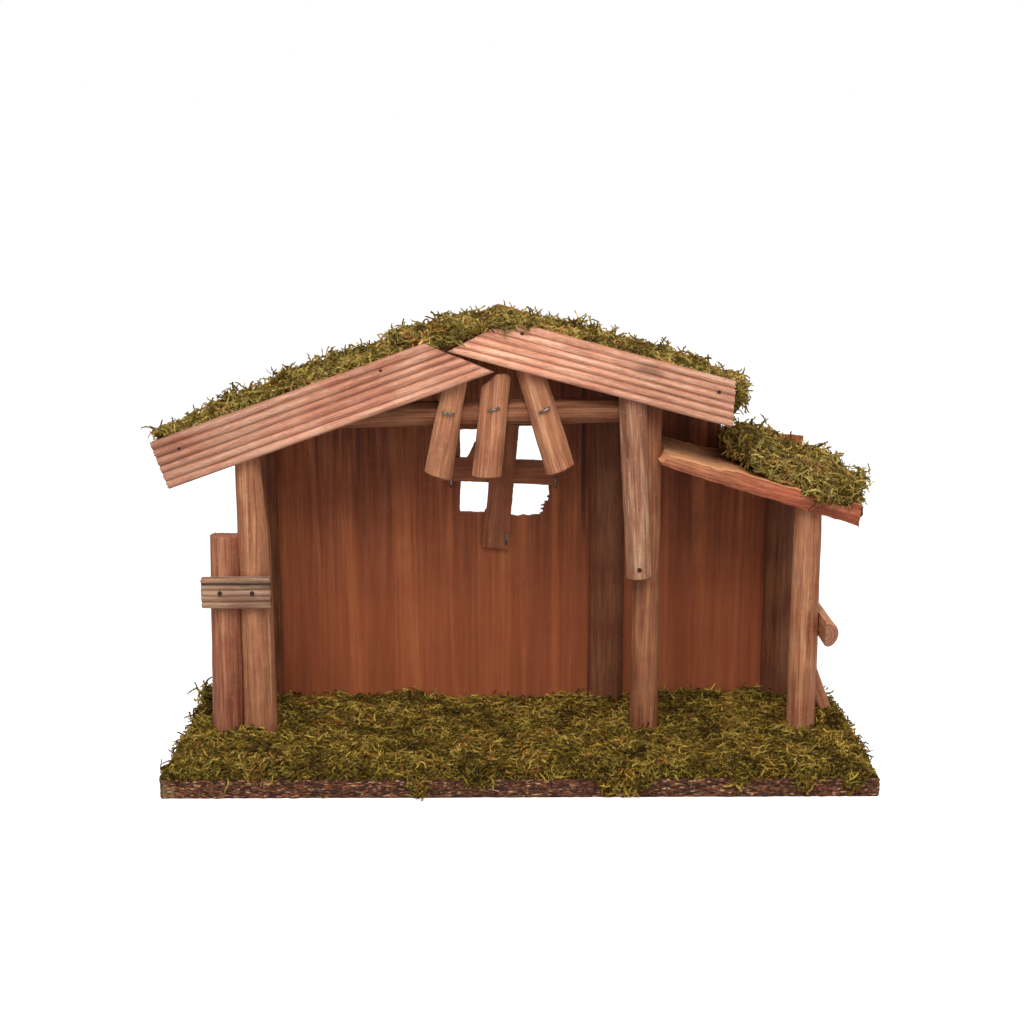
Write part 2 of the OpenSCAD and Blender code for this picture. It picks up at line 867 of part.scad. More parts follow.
// The ground moss is full along the front, low in the rooms, and runs out thin at both ends of the board
moss_low_share = 0.45;
mound_run_share = 0.8;
rim_share = 0.25;
rim_run_share = 0.05;
lip_share = 0.6;
lip_seed = 20;
function mound(s, t) = min(1, pow(max(abs(2 * s - 1), 1 - t / mound_run_share), 2));
function rim(s) = min(1, rim_share + (1 - rim_share) * min(s, 1 - s) / rim_run_share);
function ground_h(s, t) = rim(s) * (ground_moss_h * (moss_low_share + (1 - moss_low_share) * mound(s, t))
    + bump_h * bump(s * 360, t * 90));

// A ring of the ground moss in Y and Z: over the back, down the front edge and back under
function ground_ring(s) =
    let (x = (s - 1 / 2) * (base_w + 2 * moss_past),
         back = wall_y - gap,
         front = -base_d / 2,
         out = moss_over * (lip_share + (1 - lip_share) * bump(s * 1400, lip_seed)),
         low = base_t - moss_lip - hang(s) * (base_t - 2 * moss_lip))
    concat([[x, back, base_t]],
           [for (j = [moss_rows : -1 : 0])
               let (t = j / moss_rows)
                   [x, front + t * (back - front), base_t + ground_h(s, t)]],
           [[x, front - out, base_t + moss_lip],
            [x, front - out, low],
            [x, front - gap / 2, low],
            [x, front - gap / 2, base_t]]);

// Each upright stick's front middle, width and depth, where the moss leaves room for it
function moss_rooms() = [
    [left_x, front_y, left_post_w, post_d],
    [middle_x, front_y + slat_t, post_w, post_d],
    [right_x, front_y, post_w, post_d],
    [left_back_x, back_y, back_post_w, back_post_d + gap],
    [middle_back_x, back_y, back_post_w, back_post_d + gap],
    [right_back_x, back_y, back_post_w, back_post_d + gap],
    [fence_foot_x, front_y, fence_w + gap, post_d],
    [prop_foot_x - prop_w / 2, front_y + post_d, 2 * prop_w, prop_d]];

module ground_moss() {
    color(moss_colour)
        difference() {
            moss_skin([for (i = [0 : moss_cols]) ground_ring(i / moss_cols)]);
            for (p = moss_rooms())
                translate([p[0] - p[2] / 2 - gap, p[1] - gap, 0])
                    cube([p[2] + 2 * gap, p[3] + 2 * gap, reach]);
        }
}

// Moss on a roof board, in the board's own frame: x runs down the slope and the board's top is z = 0
roof_edge_share = 0.75;
mat_end_share = 0.4;
mat_run_share = 0.15;
function roof_round(t) = roof_edge_share + (1 - roof_edge_share) * sin(180 * t);
function mat_rise(s) = min(1, mat_end_share + (1 - mat_end_share) * min(s, 1 - s) / mat_run_share);

function roof_ring(x, s, thick, low, seed) =
    let (front = front_y + gap,
         back = wall_y - gap)
    concat([[x, back, low]],
           [for (j = [moss_rows / 2 : -1 : 0])
               let (t = 2 * j / moss_rows)
                   [x, front + t * (back - front),
                    thick * roof_round(t) + bump_h * bump(s * 500 + seed, t * 130 + seed)]],
           [[x, front, low]]);

module roof_moss_mat(len, thick, tail, seed, n) {
    end = thick * mat_end_share;
    moss_skin(concat(
        [for (i = [0 : n]) let (s = i / n) roof_ring(s * len, s, thick * mat_rise(s), gap / 2, seed)],
        tail > 0 ? [roof_ring(len + gap, 1, end, -tail, seed),
                    roof_ring(len + moss_over, 1, end, -tail, seed),
                    roof_ring(len + 2 * moss_over, 1, 0, -tail / 2, seed)] : []));
}

left_moss_tail = 0;
right_moss_tail = 14;
lean_moss_tail = 5;
roof_moss_cols = 26;
left_seed = 10;
right_seed = 70;
lean_seed = 130;

module left_roof_moss() {
    len = (ridge_x - roof_left) / cos(left_pitch);
    color(moss_colour)
        intersection() {
            translate([ridge_x, 0, ridge_z])
                rotate([0, -left_pitch, 0])
                    mirror([1, 0, 0])
                        roof_moss_mat(len, left_moss_h, left_moss_tail, left_seed, roof_moss_cols);
            translate([ridge_x - reach, front_y, 0])
                cube([reach, base_d, reach]);
        }
}

module right_roof_moss() {
    len = (roof_right - ridge_x) / cos(right_pitch);
    color(moss_colour)
        intersection() {
            translate([ridge_x, 0, ridge_z])
                rotate([0, right_pitch, 0])
                    roof_moss_mat(len, right_moss_h, right_moss_tail, right_seed, roof_moss_cols);
            translate([ridge_x, front_y, 0])
                cube([reach, base_d, reach]);
        }
}

// The lean-to's moss leaves a bare strip of board at its inner end
lean_bare = 24;
module lean_to_moss() {
    x0 = lean_x + lean_bare;
    slope = atan((lean_top(x0) - lean_top(lean_right)) / (lean_right - x0));
    len = (lean_right - x0) / cos(slope);
    color(moss_colour)
        translate([x0, 0, lean_top(x0) + lean_bow])
            rotate([0, slope, 0])
                roof_moss_mat(len, lean_moss_h, lean_moss_tail, lean_seed, roof_moss_cols / 2);
}

base_board();
ground_moss();
back_wall();
cross_arm();
cross_upright();
left_front_post();
middle_front_post();
right_front_post();
left_back_post();
middle_back_post();
right_back_post();
front_log();
tie_beam();
left_slat();
centre_slat();
right_slat();
left_roof_board();
right_roof_board();
lean_to_board();
left_fascia();
right_fascia();
left_roof_moss();
right_roof_moss();
lean_to_moss();
fence_post();
fence_rail();
side_rail();
side_prop();
base_nails();
roof_nails();
fascia_brads();
rail_brads();
slat_staples();
cross_staples();
wall_staples();
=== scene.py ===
import json
import math

import bmesh
import bpy
import numpy as np
from mathutils import Matrix, Vector, geometry, noise

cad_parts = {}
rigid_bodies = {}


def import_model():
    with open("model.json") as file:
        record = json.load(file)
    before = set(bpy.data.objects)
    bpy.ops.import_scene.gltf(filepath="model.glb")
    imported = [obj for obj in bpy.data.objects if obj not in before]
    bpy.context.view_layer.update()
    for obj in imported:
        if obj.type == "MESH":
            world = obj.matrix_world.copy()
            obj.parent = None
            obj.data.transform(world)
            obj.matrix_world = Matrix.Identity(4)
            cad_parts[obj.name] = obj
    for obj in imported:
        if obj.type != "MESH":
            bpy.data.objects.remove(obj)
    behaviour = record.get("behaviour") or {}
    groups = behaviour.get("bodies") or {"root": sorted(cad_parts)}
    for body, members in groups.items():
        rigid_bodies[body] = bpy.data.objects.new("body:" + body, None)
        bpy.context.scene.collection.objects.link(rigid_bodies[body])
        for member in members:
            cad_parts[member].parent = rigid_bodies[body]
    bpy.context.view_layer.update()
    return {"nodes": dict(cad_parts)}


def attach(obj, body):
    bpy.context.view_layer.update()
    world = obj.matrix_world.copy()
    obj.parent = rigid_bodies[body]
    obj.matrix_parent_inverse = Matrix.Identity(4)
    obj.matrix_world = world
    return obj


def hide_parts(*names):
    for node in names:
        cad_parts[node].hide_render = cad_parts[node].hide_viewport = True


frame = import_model()
scene = bpy.context.scene

# Sizes in millimetres, as the model has them
MM = 0.001
BASE_W, BASE_D, BASE_T = 320.0, 110.0, 8.5
FRONT_Y, WALL_Y, BACK_Y, WALL_T = -7.0, 52.0, 44.0, 3.0
LEFT_X, MIDDLE_X, RIGHT_X, RIGHT_SIDE = -123.2, 60.5, 134.9, 141.6
LEFT_BACK_X, MIDDLE_BACK_X, RIGHT_BACK_X = -127.85, 44.5, 132.45
RIDGE_X, RIDGE_Z = -8.0, 207.0
LEFT_PITCH, RIGHT_PITCH, LEAN_PITCH = (math.radians(a) for a in (19.6, 15.0, 18.4))
LEFT_TAN, RIGHT_TAN, LEAN_TAN = (math.tan(a) for a in (LEFT_PITCH, RIGHT_PITCH, LEAN_PITCH))
ROOF_T, ROOF_LEFT, ROOF_RIGHT = 4.4, -165.2, 98.0
LEAN_X, LEAN_RIGHT, LEAN_Z = 67.4, 157.0, 143.44
LEAN_T_IN, LEAN_T_OUT = 5.2, 9.0
STRIP_W, STRIP_T, PROUD = 20.6, 4.0, 2.2
CROSS_T = 2.4
X, Y, Z = Vector((1, 0, 0)), Vector((0, 1, 0)), Vector((0, 0, 1))


def left_top(x):
    return RIDGE_Z - (RIDGE_X - x) * LEFT_TAN


def right_top(x):
    return RIDGE_Z - (x - RIDGE_X) * RIGHT_TAN


def roof_top(x):
    return np.where(x < RIDGE_X, left_top(x), right_top(x))


def left_under(x):
    return left_top(x) - ROOF_T / math.cos(LEFT_PITCH)


def right_under(x):
    return right_top(x) - ROOF_T / math.cos(RIGHT_PITCH)


def lean_under(x):
    return LEAN_Z - (x - LEAN_X) * LEAN_TAN


def lean_top(x):
    thick = LEAN_T_IN + (LEAN_T_OUT - LEAN_T_IN) * (x - LEAN_X) / (LEAN_RIGHT - LEAN_X)
    return lean_under(x) + thick / math.cos(LEAN_PITCH)


def shade(r, g, b):
    """A colour as the eye reads it, 0 to 255, turned into the linear values that a shader takes."""
    shares = (c / 255 for c in (r, g, b))
    return tuple(s / 12.92 if s < 11 / 255 else ((s + 0.055) / 1.055) ** 2.4 for s in shares) + (1.0,)


def tinted(colour, by):
    """A colour made darker or lighter by a factor."""
    return shade(*(min(255, c * by) for c in colour))


# Nodes


def fill(tree, sockets, values):
    """Sets sockets to plain values, or links them to what other nodes give."""
    for key, value in values.items():
        if isinstance(value, Value):
            tree.links.new(value.socket, sockets[key])
        else:
            sockets[key].default_value = value


def add(tree, kind, inputs=None, **settings):
    """A new node with its settings. Its inputs are plain values or what other nodes give."""
    made = tree.nodes.new(kind)
    for key, value in settings.items():
        setattr(made, key, value)
    fill(tree, made.inputs, inputs or {})
    return Outputs(tree, made)


class Outputs:
    """What a node gives, by name or number."""

    def __init__(self, tree, node):
        self.tree, self.node = tree, node

    def __getitem__(self, key):
        return Value(self.tree, self.node.outputs[key])


class Value:
    """One output of a node. Plain arithmetic on it adds Math nodes to its tree."""

    def __init__(self, tree, socket):
        self.tree, self.socket = tree, socket

    def math(self, operation, *others, first=None):
        values = (self, *others) if first is None else (first, self)
        return add(self.tree, "ShaderNodeMath", dict(enumerate(values)), operation=operation)[0]

    def __add__(self, other):
        return self.math("ADD", other)

    def __sub__(self, other):
        return self.math("SUBTRACT", other)

    def __rsub__(self, other):
        return self.math("SUBTRACT", first=other)

    def __mul__(self, other):
        return self.math("MULTIPLY", other)

    def __truediv__(self, other):
        return self.math("DIVIDE", other)

    def __rtruediv__(self, other):
        return self.math("DIVIDE", first=other)

    def vector(self, operation, other):
        """Vector math with another vector or, for SCALE, a number."""
        key = "Scale" if operation == "SCALE" else 1
        return add(self.tree, "ShaderNodeVectorMath", {0: self, key: other}, operation=operation)[0]

    def parts(self):
        split = add(self.tree, "ShaderNodeSeparateXYZ", {0: self})
        return split[0], split[1], split[2]

    def span(self, start, stop, low=0.0, high=1.0):
        """Goes from low to high while this goes from start to stop."""
        return add(self.tree, "ShaderNodeMapRange", {0: self, 1: start, 2: stop, 3: low, 4: high})[0]

    def noise(self, scale, detail=2.0, rough=0.5, bent=0.0, w=None, output=0):
        """Noise over this place. With w it is another draw, and output 1 gives it as a colour."""
        inputs = {"Vector": self, "Scale": scale, "Detail": detail, "Roughness": rough, "Distortion": bent}
        if w is None:
            return add(self.tree, "ShaderNodeTexNoise", inputs)[output]
        return add(self.tree, "ShaderNodeTexNoise", {**inputs, "W": w}, noise_dimensions="4D")[output]

    def cells(self, scale):
        """Voronoi cells: how far it is to the middle of the nearest one, and a number of its own for each."""
        made = add(self.tree, "ShaderNodeTexVoronoi", {"Vector": self, "Scale": scale, "Randomness": 1.0})
        return made["Distance"], add(self.tree, "ShaderNodeSeparateColor", {0: made["Color"]})[0]

    def ramp(self, stops):
        """Colours over stops of (place, colour)."""
        made = add(self.tree, "ShaderNodeValToRGB", {0: self})
        band = made.node.color_ramp
        while len(band.elements) < len(stops):
            band.elements.new(0.5)
        for element, (place, colour) in zip(band.elements, stops):
            element.position = place
            element.color = shade(*colour)
        return made[0]

    def mix(self, share, other, kind="MIX"):
        """This colour with a share of another over it."""
        return blend(self.tree, share, self, other, kind)

    def times(self, other, share=1.0):
        return self.mix(share, other, "MULTIPLY")


def blend(tree, share, a, b, kind="MIX"):
    return add(tree, "ShaderNodeMix", {0: share, 6: a, 7: b}, data_type="RGBA", blend_type=kind)[2]


def join(tree, x=0.0, y=0.0, z=0.0):
    return add(tree, "ShaderNodeCombineXYZ", {0: x, 1: y, 2: z})[0]


def attribute(tree, name, kind="Fac"):
    return add(tree, "ShaderNodeAttribute", attribute_name=name)[kind]


def object_place(tree):
    return add(tree, "ShaderNodeTexCoord")["Object"]


def group(name, numbers):
    """A shader node group over a place, with named numbers."""
    tree = bpy.data.node_groups.new(name, "ShaderNodeTree")
    tree.interface.new_socket("Place", in_out="INPUT", socket_type="NodeSocketVector")
    for title, value in numbers.items():
        tree.interface.new_socket(title, in_out="INPUT", socket_type="NodeSocketFloat").default_value = value
    return tree, Outputs(tree, tree.nodes.new("NodeGroupInput"))


def group_gives(tree, values):
    for title in values:
        tree.interface.new_socket(title, in_out="OUTPUT", socket_type="NodeSocketFloat")
    fill(tree, tree.nodes.new("NodeGroupOutput").inputs, values)
    return tree


def long_grain():
    """Wood grain that runs along Z: broad bands, fine fibres, open pores and small knots."""
    tree, given = group("Long grain", {"Fineness": 300.0, "Stretch": 18.0, "Knot spacing": 0.05})
    x, y, z = given["Place"].parts()
    fine = join(tree, x, y, z / given["Stretch"]).vector("SCALE", given["Fineness"])
    bands = fine.noise(0.8, 3.0, bent=0.8)
    fibres = fine.noise(4.5, 4.0, 0.65)
    pores = fine.noise(9.0).span(0.56, 0.68)
    flat = given["Place"].vector("MULTIPLY", (1.0, 1.0, 0.45))
    off = flat.vector("SCALE", 1.0 / given["Knot spacing"]).cells(1.0)[0]
    height = fibres * 0.7 + bands * 0.5 - pores * 0.35
    return group_gives(tree, {"Bands": bands, "Fibres": fibres, "Pores": pores, "Knots": off.span(0.08, 0.035),
                              "Height": height})


def weathering():
    """Broad uneven staining and small scuffs, on the piece's own place."""
    tree, given = group("Weathering", {"Patch size": 0.03})
    near = given["Place"].vector("SCALE", 1.0 / given["Patch size"])
    scuffs = near.noise(14.0, 3.0, 0.7).span(0.6, 0.74)
    return group_gives(tree, {"Stain": near.noise(1.0, 4.0, 0.6), "Scuffs": scuffs})


GRAIN, WEATHER = long_grain(), weathering()


def material(name):
    made = bpy.data.materials.new(name)
    made.use_nodes = True
    return made, made.node_tree


def surface(tree, colour, height, strength, deep, roughness, shine=0.3, metallic=0.0):
    """The shader's own inputs: its colour, bumps that are so many millimetres deep, and how it shines."""
    bumped = add(tree, "ShaderNodeBump", {"Strength": strength, "Distance": deep * MM, "Height": height})[0]
    fill(tree, tree.nodes["Principled BSDF"].inputs, {
        "Base Color": colour, "Normal": bumped, "Roughness": roughness, "Specular IOR Level": shine,
        "Metallic": metallic})


# Where the back wall is split, along X, and how far a stick's pith lies behind its round face
SPLIT_X, PITH_Y = 34.2, 6.4


def wood(name, dark, middle, light, fineness, stretch, bump, stain=0.5, knot_spacing=0.05, spread=0.14,
         groove_shade=None, low=None, reddens=None):
    """A wood finish whose grain runs along the Z of the piece's own place. Groove shade is painted shade: the colour
    laid into the hollows between a strip's ridges. Low is the colour that a wall takes near the ground, where it
    also has a thin dark split, and reddens where a plank turns redder along X."""
    made, tree = material(name)
    here = attribute(tree, "grain", "Vector")
    grain = add(tree, "ShaderNodeGroup", {"Place": here, "Fineness": fineness, "Stretch": stretch,
                                          "Knot spacing": knot_spacing}, node_tree=GRAIN)
    wear = add(tree, "ShaderNodeGroup", {"Place": here}, node_tree=WEATHER)
    mixed = grain["Fibres"] * 0.45 + grain["Bands"] * 0.55
    colour = mixed.ramp([(0.5 - spread, dark), (0.5, middle), (0.5 + spread, light)])
    colour = colour.times(wear["Stain"].span(0.35, 0.65, 1.0 - stain * 0.5, 1.0 + stain * 0.25))
    colour = colour.times((1.04, 0.86, 0.84, 1.0), wear["Stain"].span(0.5, 0.38, 0.0, 0.9))
    colour = colour.mix(grain["Pores"] * 0.4, tinted(dark, 0.55))
    colour = colour.mix(grain["Knots"] * 0.6, tinted(dark, 0.6))
    colour = colour.mix(wear["Scuffs"] * 0.3, tinted(light, 1.15))
    x, z = object_place(tree).parts()[::2]
    if groove_shade:
        # Painted shade in the hollows between the ridges, deeper in some places than others
        depth = attribute(tree, "groove").span(0.05, 0.8, 1.0, 0.0)
        colour = colour.mix(depth * wear["Stain"].span(0.3, 0.7, 0.72, 0.28), shade(*groove_shade))
        # Made lighter or darker along the strip and across it, by a factor kept on each point
        colour = colour.times(attribute(tree, "brightness_along"))
    if low:
        colour = colour.mix(z.span(160 * MM, 60 * MM, 0.0, 0.6), shade(*low))
        off = (grain["Bands"] * (3 * MM) + x - SPLIT_X * MM).math("ABSOLUTE")
        split = off.span(1.4 * MM, 0.5 * MM, 0.0, 0.8) * z.span(90 * MM, 110 * MM)
        colour = colour.mix(split, shade(44, 22, 14))
    if reddens:
        wander = wear["Stain"] * 0.04 + (x - 0.02)
        colour = colour.times((0.8, 0.55, 0.6, 1.0), wander.span(reddens[0] * MM, reddens[1] * MM, 0.0, 0.85))
    surface(tree, colour, grain["Height"], 0.9, bump, grain["Fibres"].span(0.3, 0.7, 0.85, 0.62))
    return made


def sawn_end(name, dark, light):
    """A sawn end with growth rings round the stick's pith."""
    made, tree = material(name)
    here = attribute(tree, "grain", "Vector")
    x, y = here.parts()[:2]
    off = y - PITH_Y * MM
    away = (off * off + x * x).math("SQRT")
    speck = here.noise(900.0, 4.0, 0.7)
    rings = (away * 4200.0 + speck * 9.0).math("SINE") * 0.5 + 0.5
    mixed = rings * 0.25 + speck * 0.75
    surface(tree, mixed.ramp([(0.2, dark), (0.8, light)]), mixed, 0.8, 0.3, 0.85)
    return made


def fibreboard():
    """Layered wood fibre: thin dark layers that run along the board's edge, with pale flecks between them."""
    made, tree = material("fibre_edge")
    here = object_place(tree)
    bent = here.vector("ADD", here.noise(180.0, output=1).vector("MULTIPLY", (0.003, 0.003, 0.0018)))
    pulled = bent.vector("MULTIPLY", (0.32, 0.32, 1.0))
    off, flakes = pulled.cells(1600.0)
    layers = pulled.noise(1500.0, 4.0, 0.7)
    colour = flakes.ramp([(0.1, (48, 26, 15)), (0.35, (94, 53, 32)), (0.68, (128, 76, 48)),
                          (0.88, (150, 98, 66)), (0.97, (206, 156, 118))])
    colour = colour.mix(layers.span(0.5, 0.38, 0.0, 0.85), shade(40, 22, 15))
    colour = colour.mix(off.span(0.45, 0.8, 0.0, 0.8), shade(34, 19, 13))
    left_end = here.parts()[0].span(-152.5 * MM, -154.5 * MM, 0.0, 0.3)
    pale = left_end * here.noise(330.0, 3.0).span(0.42, 0.56)
    colour = colour.mix(pale, shade(184, 154, 100))
    surface(tree, colour, flakes * 0.8 + layers * 0.6, 1.0, 0.9, 0.9)
    return made


def steel(name, bare, rusty):
    """Wire or brads: drawn steel with dull brown spots."""
    made, tree = material(name)
    spots = object_place(tree).noise(900.0, 4.0)
    rust = spots.span(0.5, 0.66)
    surface(tree, blend(tree, rust, shade(*bare), shade(*rusty)), spots, 0.4, 0.1, rust * 0.4 + 0.35, shine=0.5,
            metallic=rust * -0.7 + 0.95)
    return made


def moss(name, tones):
    """Moss sprigs: each has its own tone, and its leaves are paler towards their tips."""
    made, tree = material(name)
    tone, here = attribute(tree, "tone"), object_place(tree)
    clump = here.noise(62.0, 4.0).span(0.36, 0.64)
    colour = (tone * 0.5 + clump * 0.5).ramp(tones)
    colour = colour.times((1.12, 0.74, 0.72, 1.0), here.noise(95.0, w=3.0).span(0.55, 0.68, 0.0, 0.6))
    paler = attribute(tree, "tip").span(0.0, 1.0, 0.6, 1.25)
    own = add(tree, "ShaderNodeTexWhiteNoise", {"W": tone * 50.0}, noise_dimensions="1D")["Value"]
    colour = colour.times(paler * own.span(0.0, 1.0, 0.6, 1.35))
    colour = colour.times(here.noise(130.0, w=8.0).span(0.36, 0.64, 0.66, 1.34))
    fuzz = here.noise(2600.0)
    surface(tree, colour, fuzz, 0.5, 0.2, fuzz * 0.3 + 0.65, shine=0.15)
    return made


def moss_bed(name, tones):
    """The dense mat under the sprigs: small tangled leaves, with painted shade in the hollows between them."""
    made, tree = material(name)
    here = object_place(tree)
    bent = here.vector("ADD", here.noise(320.0, 3.0, output=1).vector("SCALE", 0.006))
    off, own = bent.vector("MULTIPLY", (1.0, 2.4, 2.4)).cells(420.0)
    tangle = bent.noise(900.0, 5.0, 0.7)
    # Darker towards the edges of the cells: painted shade in the hollows
    colour = (own * 0.6 + tangle * 0.4).ramp(tones).times(off.span(0.25, 0.7, 1.0, 0.2))
    surface(tree, colour, tangle * 0.6 - off, 1.0, 1.4, 0.95, shine=0.1)
    return made


STICK = wood("stick_wood", (140, 85, 58), (177, 118, 83), (206, 151, 111), 330.0, 26.0, 0.4, spread=0.13)
# A darker copy of the stick wood for the middle front post: painted shade from the roof
PAINTED_SHADE_STICK = wood("painted_shade_stick", (116, 67, 42), (148, 93, 62), (176, 120, 82), 330.0, 24.0, 0.4, spread=0.12)
# Darker wood for the tie beam under the roof: painted shade
PAINTED_SHADE_BEAM = wood("painted_shade_beam_wood", (98, 56, 34), (136, 85, 56), (176, 120, 84), 330.0, 24.0, 0.4, spread=0.12)
LOG = wood("log_wood", (120, 74, 52), (160, 110, 82), (200, 156, 124), 360.0, 18.0, 0.4, spread=0.13)
RED_STICK = wood("red_stick", (126, 68, 48), (158, 98, 70), (188, 132, 98), 330.0, 22.0, 0.4, spread=0.12)
SHADED = wood("shaded_stick", (88, 48, 28), (116, 68, 42), (136, 86, 56), 330.0, 26.0, 0.4)
# The strip's and the rail's groove colours are painted shade between their ridges
STRIP = wood("combed_strip", (186, 124, 96), (216, 156, 126), (234, 182, 153), 480.0, 13.0, 0.45, stain=0.3,
             spread=0.12, groove_shade=(152, 90, 66))
RAIL = wood("rail_strip", (140, 98, 72), (188, 146, 116), (216, 182, 152), 420.0, 22.0, 0.5,
            groove_shade=(112, 78, 58))
PLANK = wood("plank_wood", (130, 68, 44), (170, 102, 68), (200, 136, 96), 300.0, 14.0, 0.7, stain=0.9,
             spread=0.12, reddens=(90.0, 128.0))
# A paler copy of the plank wood for the lean-to board's edges: painted light, so that its top face looks lit
PLANK_TOP_PAINTED_LIGHT = wood("plank_top_painted_light", (178, 112, 72), (218, 150, 102), (240, 182, 134), 300.0, 14.0, 0.5, stain=0.7)
BOARD = wood("roof_board", (92, 50, 34), (126, 74, 50), (154, 98, 68), 300.0, 22.0, 0.5)
PLY = wood("plywood", (88, 44, 25), (134, 73, 43), (172, 102, 62), 130.0, 30.0, 0.25, knot_spacing=0.09,
           spread=0.11, low=(154, 79, 43))
CROSS = wood("cross_wood", (116, 66, 42), (150, 88, 58), (174, 108, 72), 300.0, 24.0, 0.4)
STICK_END = sawn_end("stick_end", (112, 66, 48), (176, 122, 92))
STEEL = steel("staple_steel", (100, 96, 88), (58, 42, 32))
# Dark brown for the brads: rust, with painted shade for the holes they are sunk in
BRAD_RUST_AND_SHADE = steel("sunk_brad_rust_and_painted_shade", (54, 36, 26), (34, 20, 13))
FIBRE = fibreboard()
GROUND_TONES = [(0.12, (52, 36, 10)), (0.32, (96, 72, 20)), (0.5, (130, 104, 34)), (0.68, (182, 158, 72)),
                (0.86, (136, 90, 42))]
ROOF_TONES = [(0.12, (78, 56, 22)), (0.32, (122, 99, 38)), (0.5, (156, 132, 60)), (0.68, (198, 177, 100)),
              (0.86, (164, 112, 62))]
GROUND_MOSS, ROOF_MOSS = moss("ground_sprigs", GROUND_TONES), moss("roof_sprigs", ROOF_TONES)
GROUND_BED, ROOF_BED = moss_bed("ground_bed", GROUND_TONES), moss_bed("roof_bed", ROOF_TONES)


# Pieces

# Faces that meet at more than this stay sharp
SHARP = math.radians(38)


def dress(obj, slot, *nodes):
    """Gives a finished piece smooth shading with sharp edges, joins it to what it moves with and hides the nodes it
    stands for. Its slot is not used.
    """
    obj.data.shade_smooth()
    obj.data.set_sharp_from_angle(angle=SHARP)
    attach(obj, "root")
    if nodes:
        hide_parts(*nodes)
    return obj


def put(name, data):
    obj = bpy.data.objects.new(name, data)
    scene.collection.objects.link(obj)
    return obj


def mark(mesh, title, values):
    """Keeps a number or a vector for each point, which the finish or a tree reads."""
    values = np.asarray(values, np.float32)
    many = values.ndim == 2
    made = mesh.attributes.new(title, "FLOAT_VECTOR" if many else "FLOAT", "POINT")
    made.data.foreach_set("vector" if many else "value", values.ravel())


def mend(mesh, merge=False):
    """Turns a mesh's faces outwards, or merges its points that lie together."""
    tidy = bmesh.new()
    tidy.from_mesh(mesh)
    if merge:
        bmesh.ops.remove_doubles(tidy, verts=tidy.verts, dist=1e-6)
    else:
        bmesh.ops.recalc_face_normals(tidy, faces=tidy.faces)
    tidy.to_mesh(mesh)
    tidy.free()


def settle(obj):
    """Gives a piece the plain mesh that its modifier makes, and takes the modifier off."""
    bpy.context.view_layer.update()
    evaluated = obj.evaluated_get(bpy.context.evaluated_depsgraph_get())
    mesh = bpy.data.meshes.new_from_object(evaluated)
    obj.modifiers.clear()
    obj.data = mesh
    return mesh


def read_points(mesh):
    places = np.empty(len(mesh.vertices) * 3)
    mesh.vertices.foreach_get("co", places)
    return places.reshape(-1, 3)


def piece(name, points, faces, materials, marks=None, ends=()):
    """A closed mesh from points in millimetres, with a named value or vector for each point. Its ends are the
    faces that have the second material."""
    mesh = bpy.data.meshes.new(name)
    mesh.from_pydata((np.array([tuple(p) for p in points], float) * MM).tolist(), [], faces)
    for title, values in (marks or {}).items():
        mark(mesh, title, values)
    for each in materials:
        mesh.materials.append(each)
    for face in ends:
        mesh.polygons[face].material_index = 1
    mend(mesh)
    return put(name, mesh)


def walls(rings, n, start=0):
    """The faces between rings of n points each."""
    faces = []
    for low in range(start, start + (rings - 1) * n, n):
        faces += [(low + j, low + (j + 1) % n, low + n + (j + 1) % n, low + n + j) for j in range(n)]
    return faces


def wave(*place):
    return noise.noise(Vector(place))


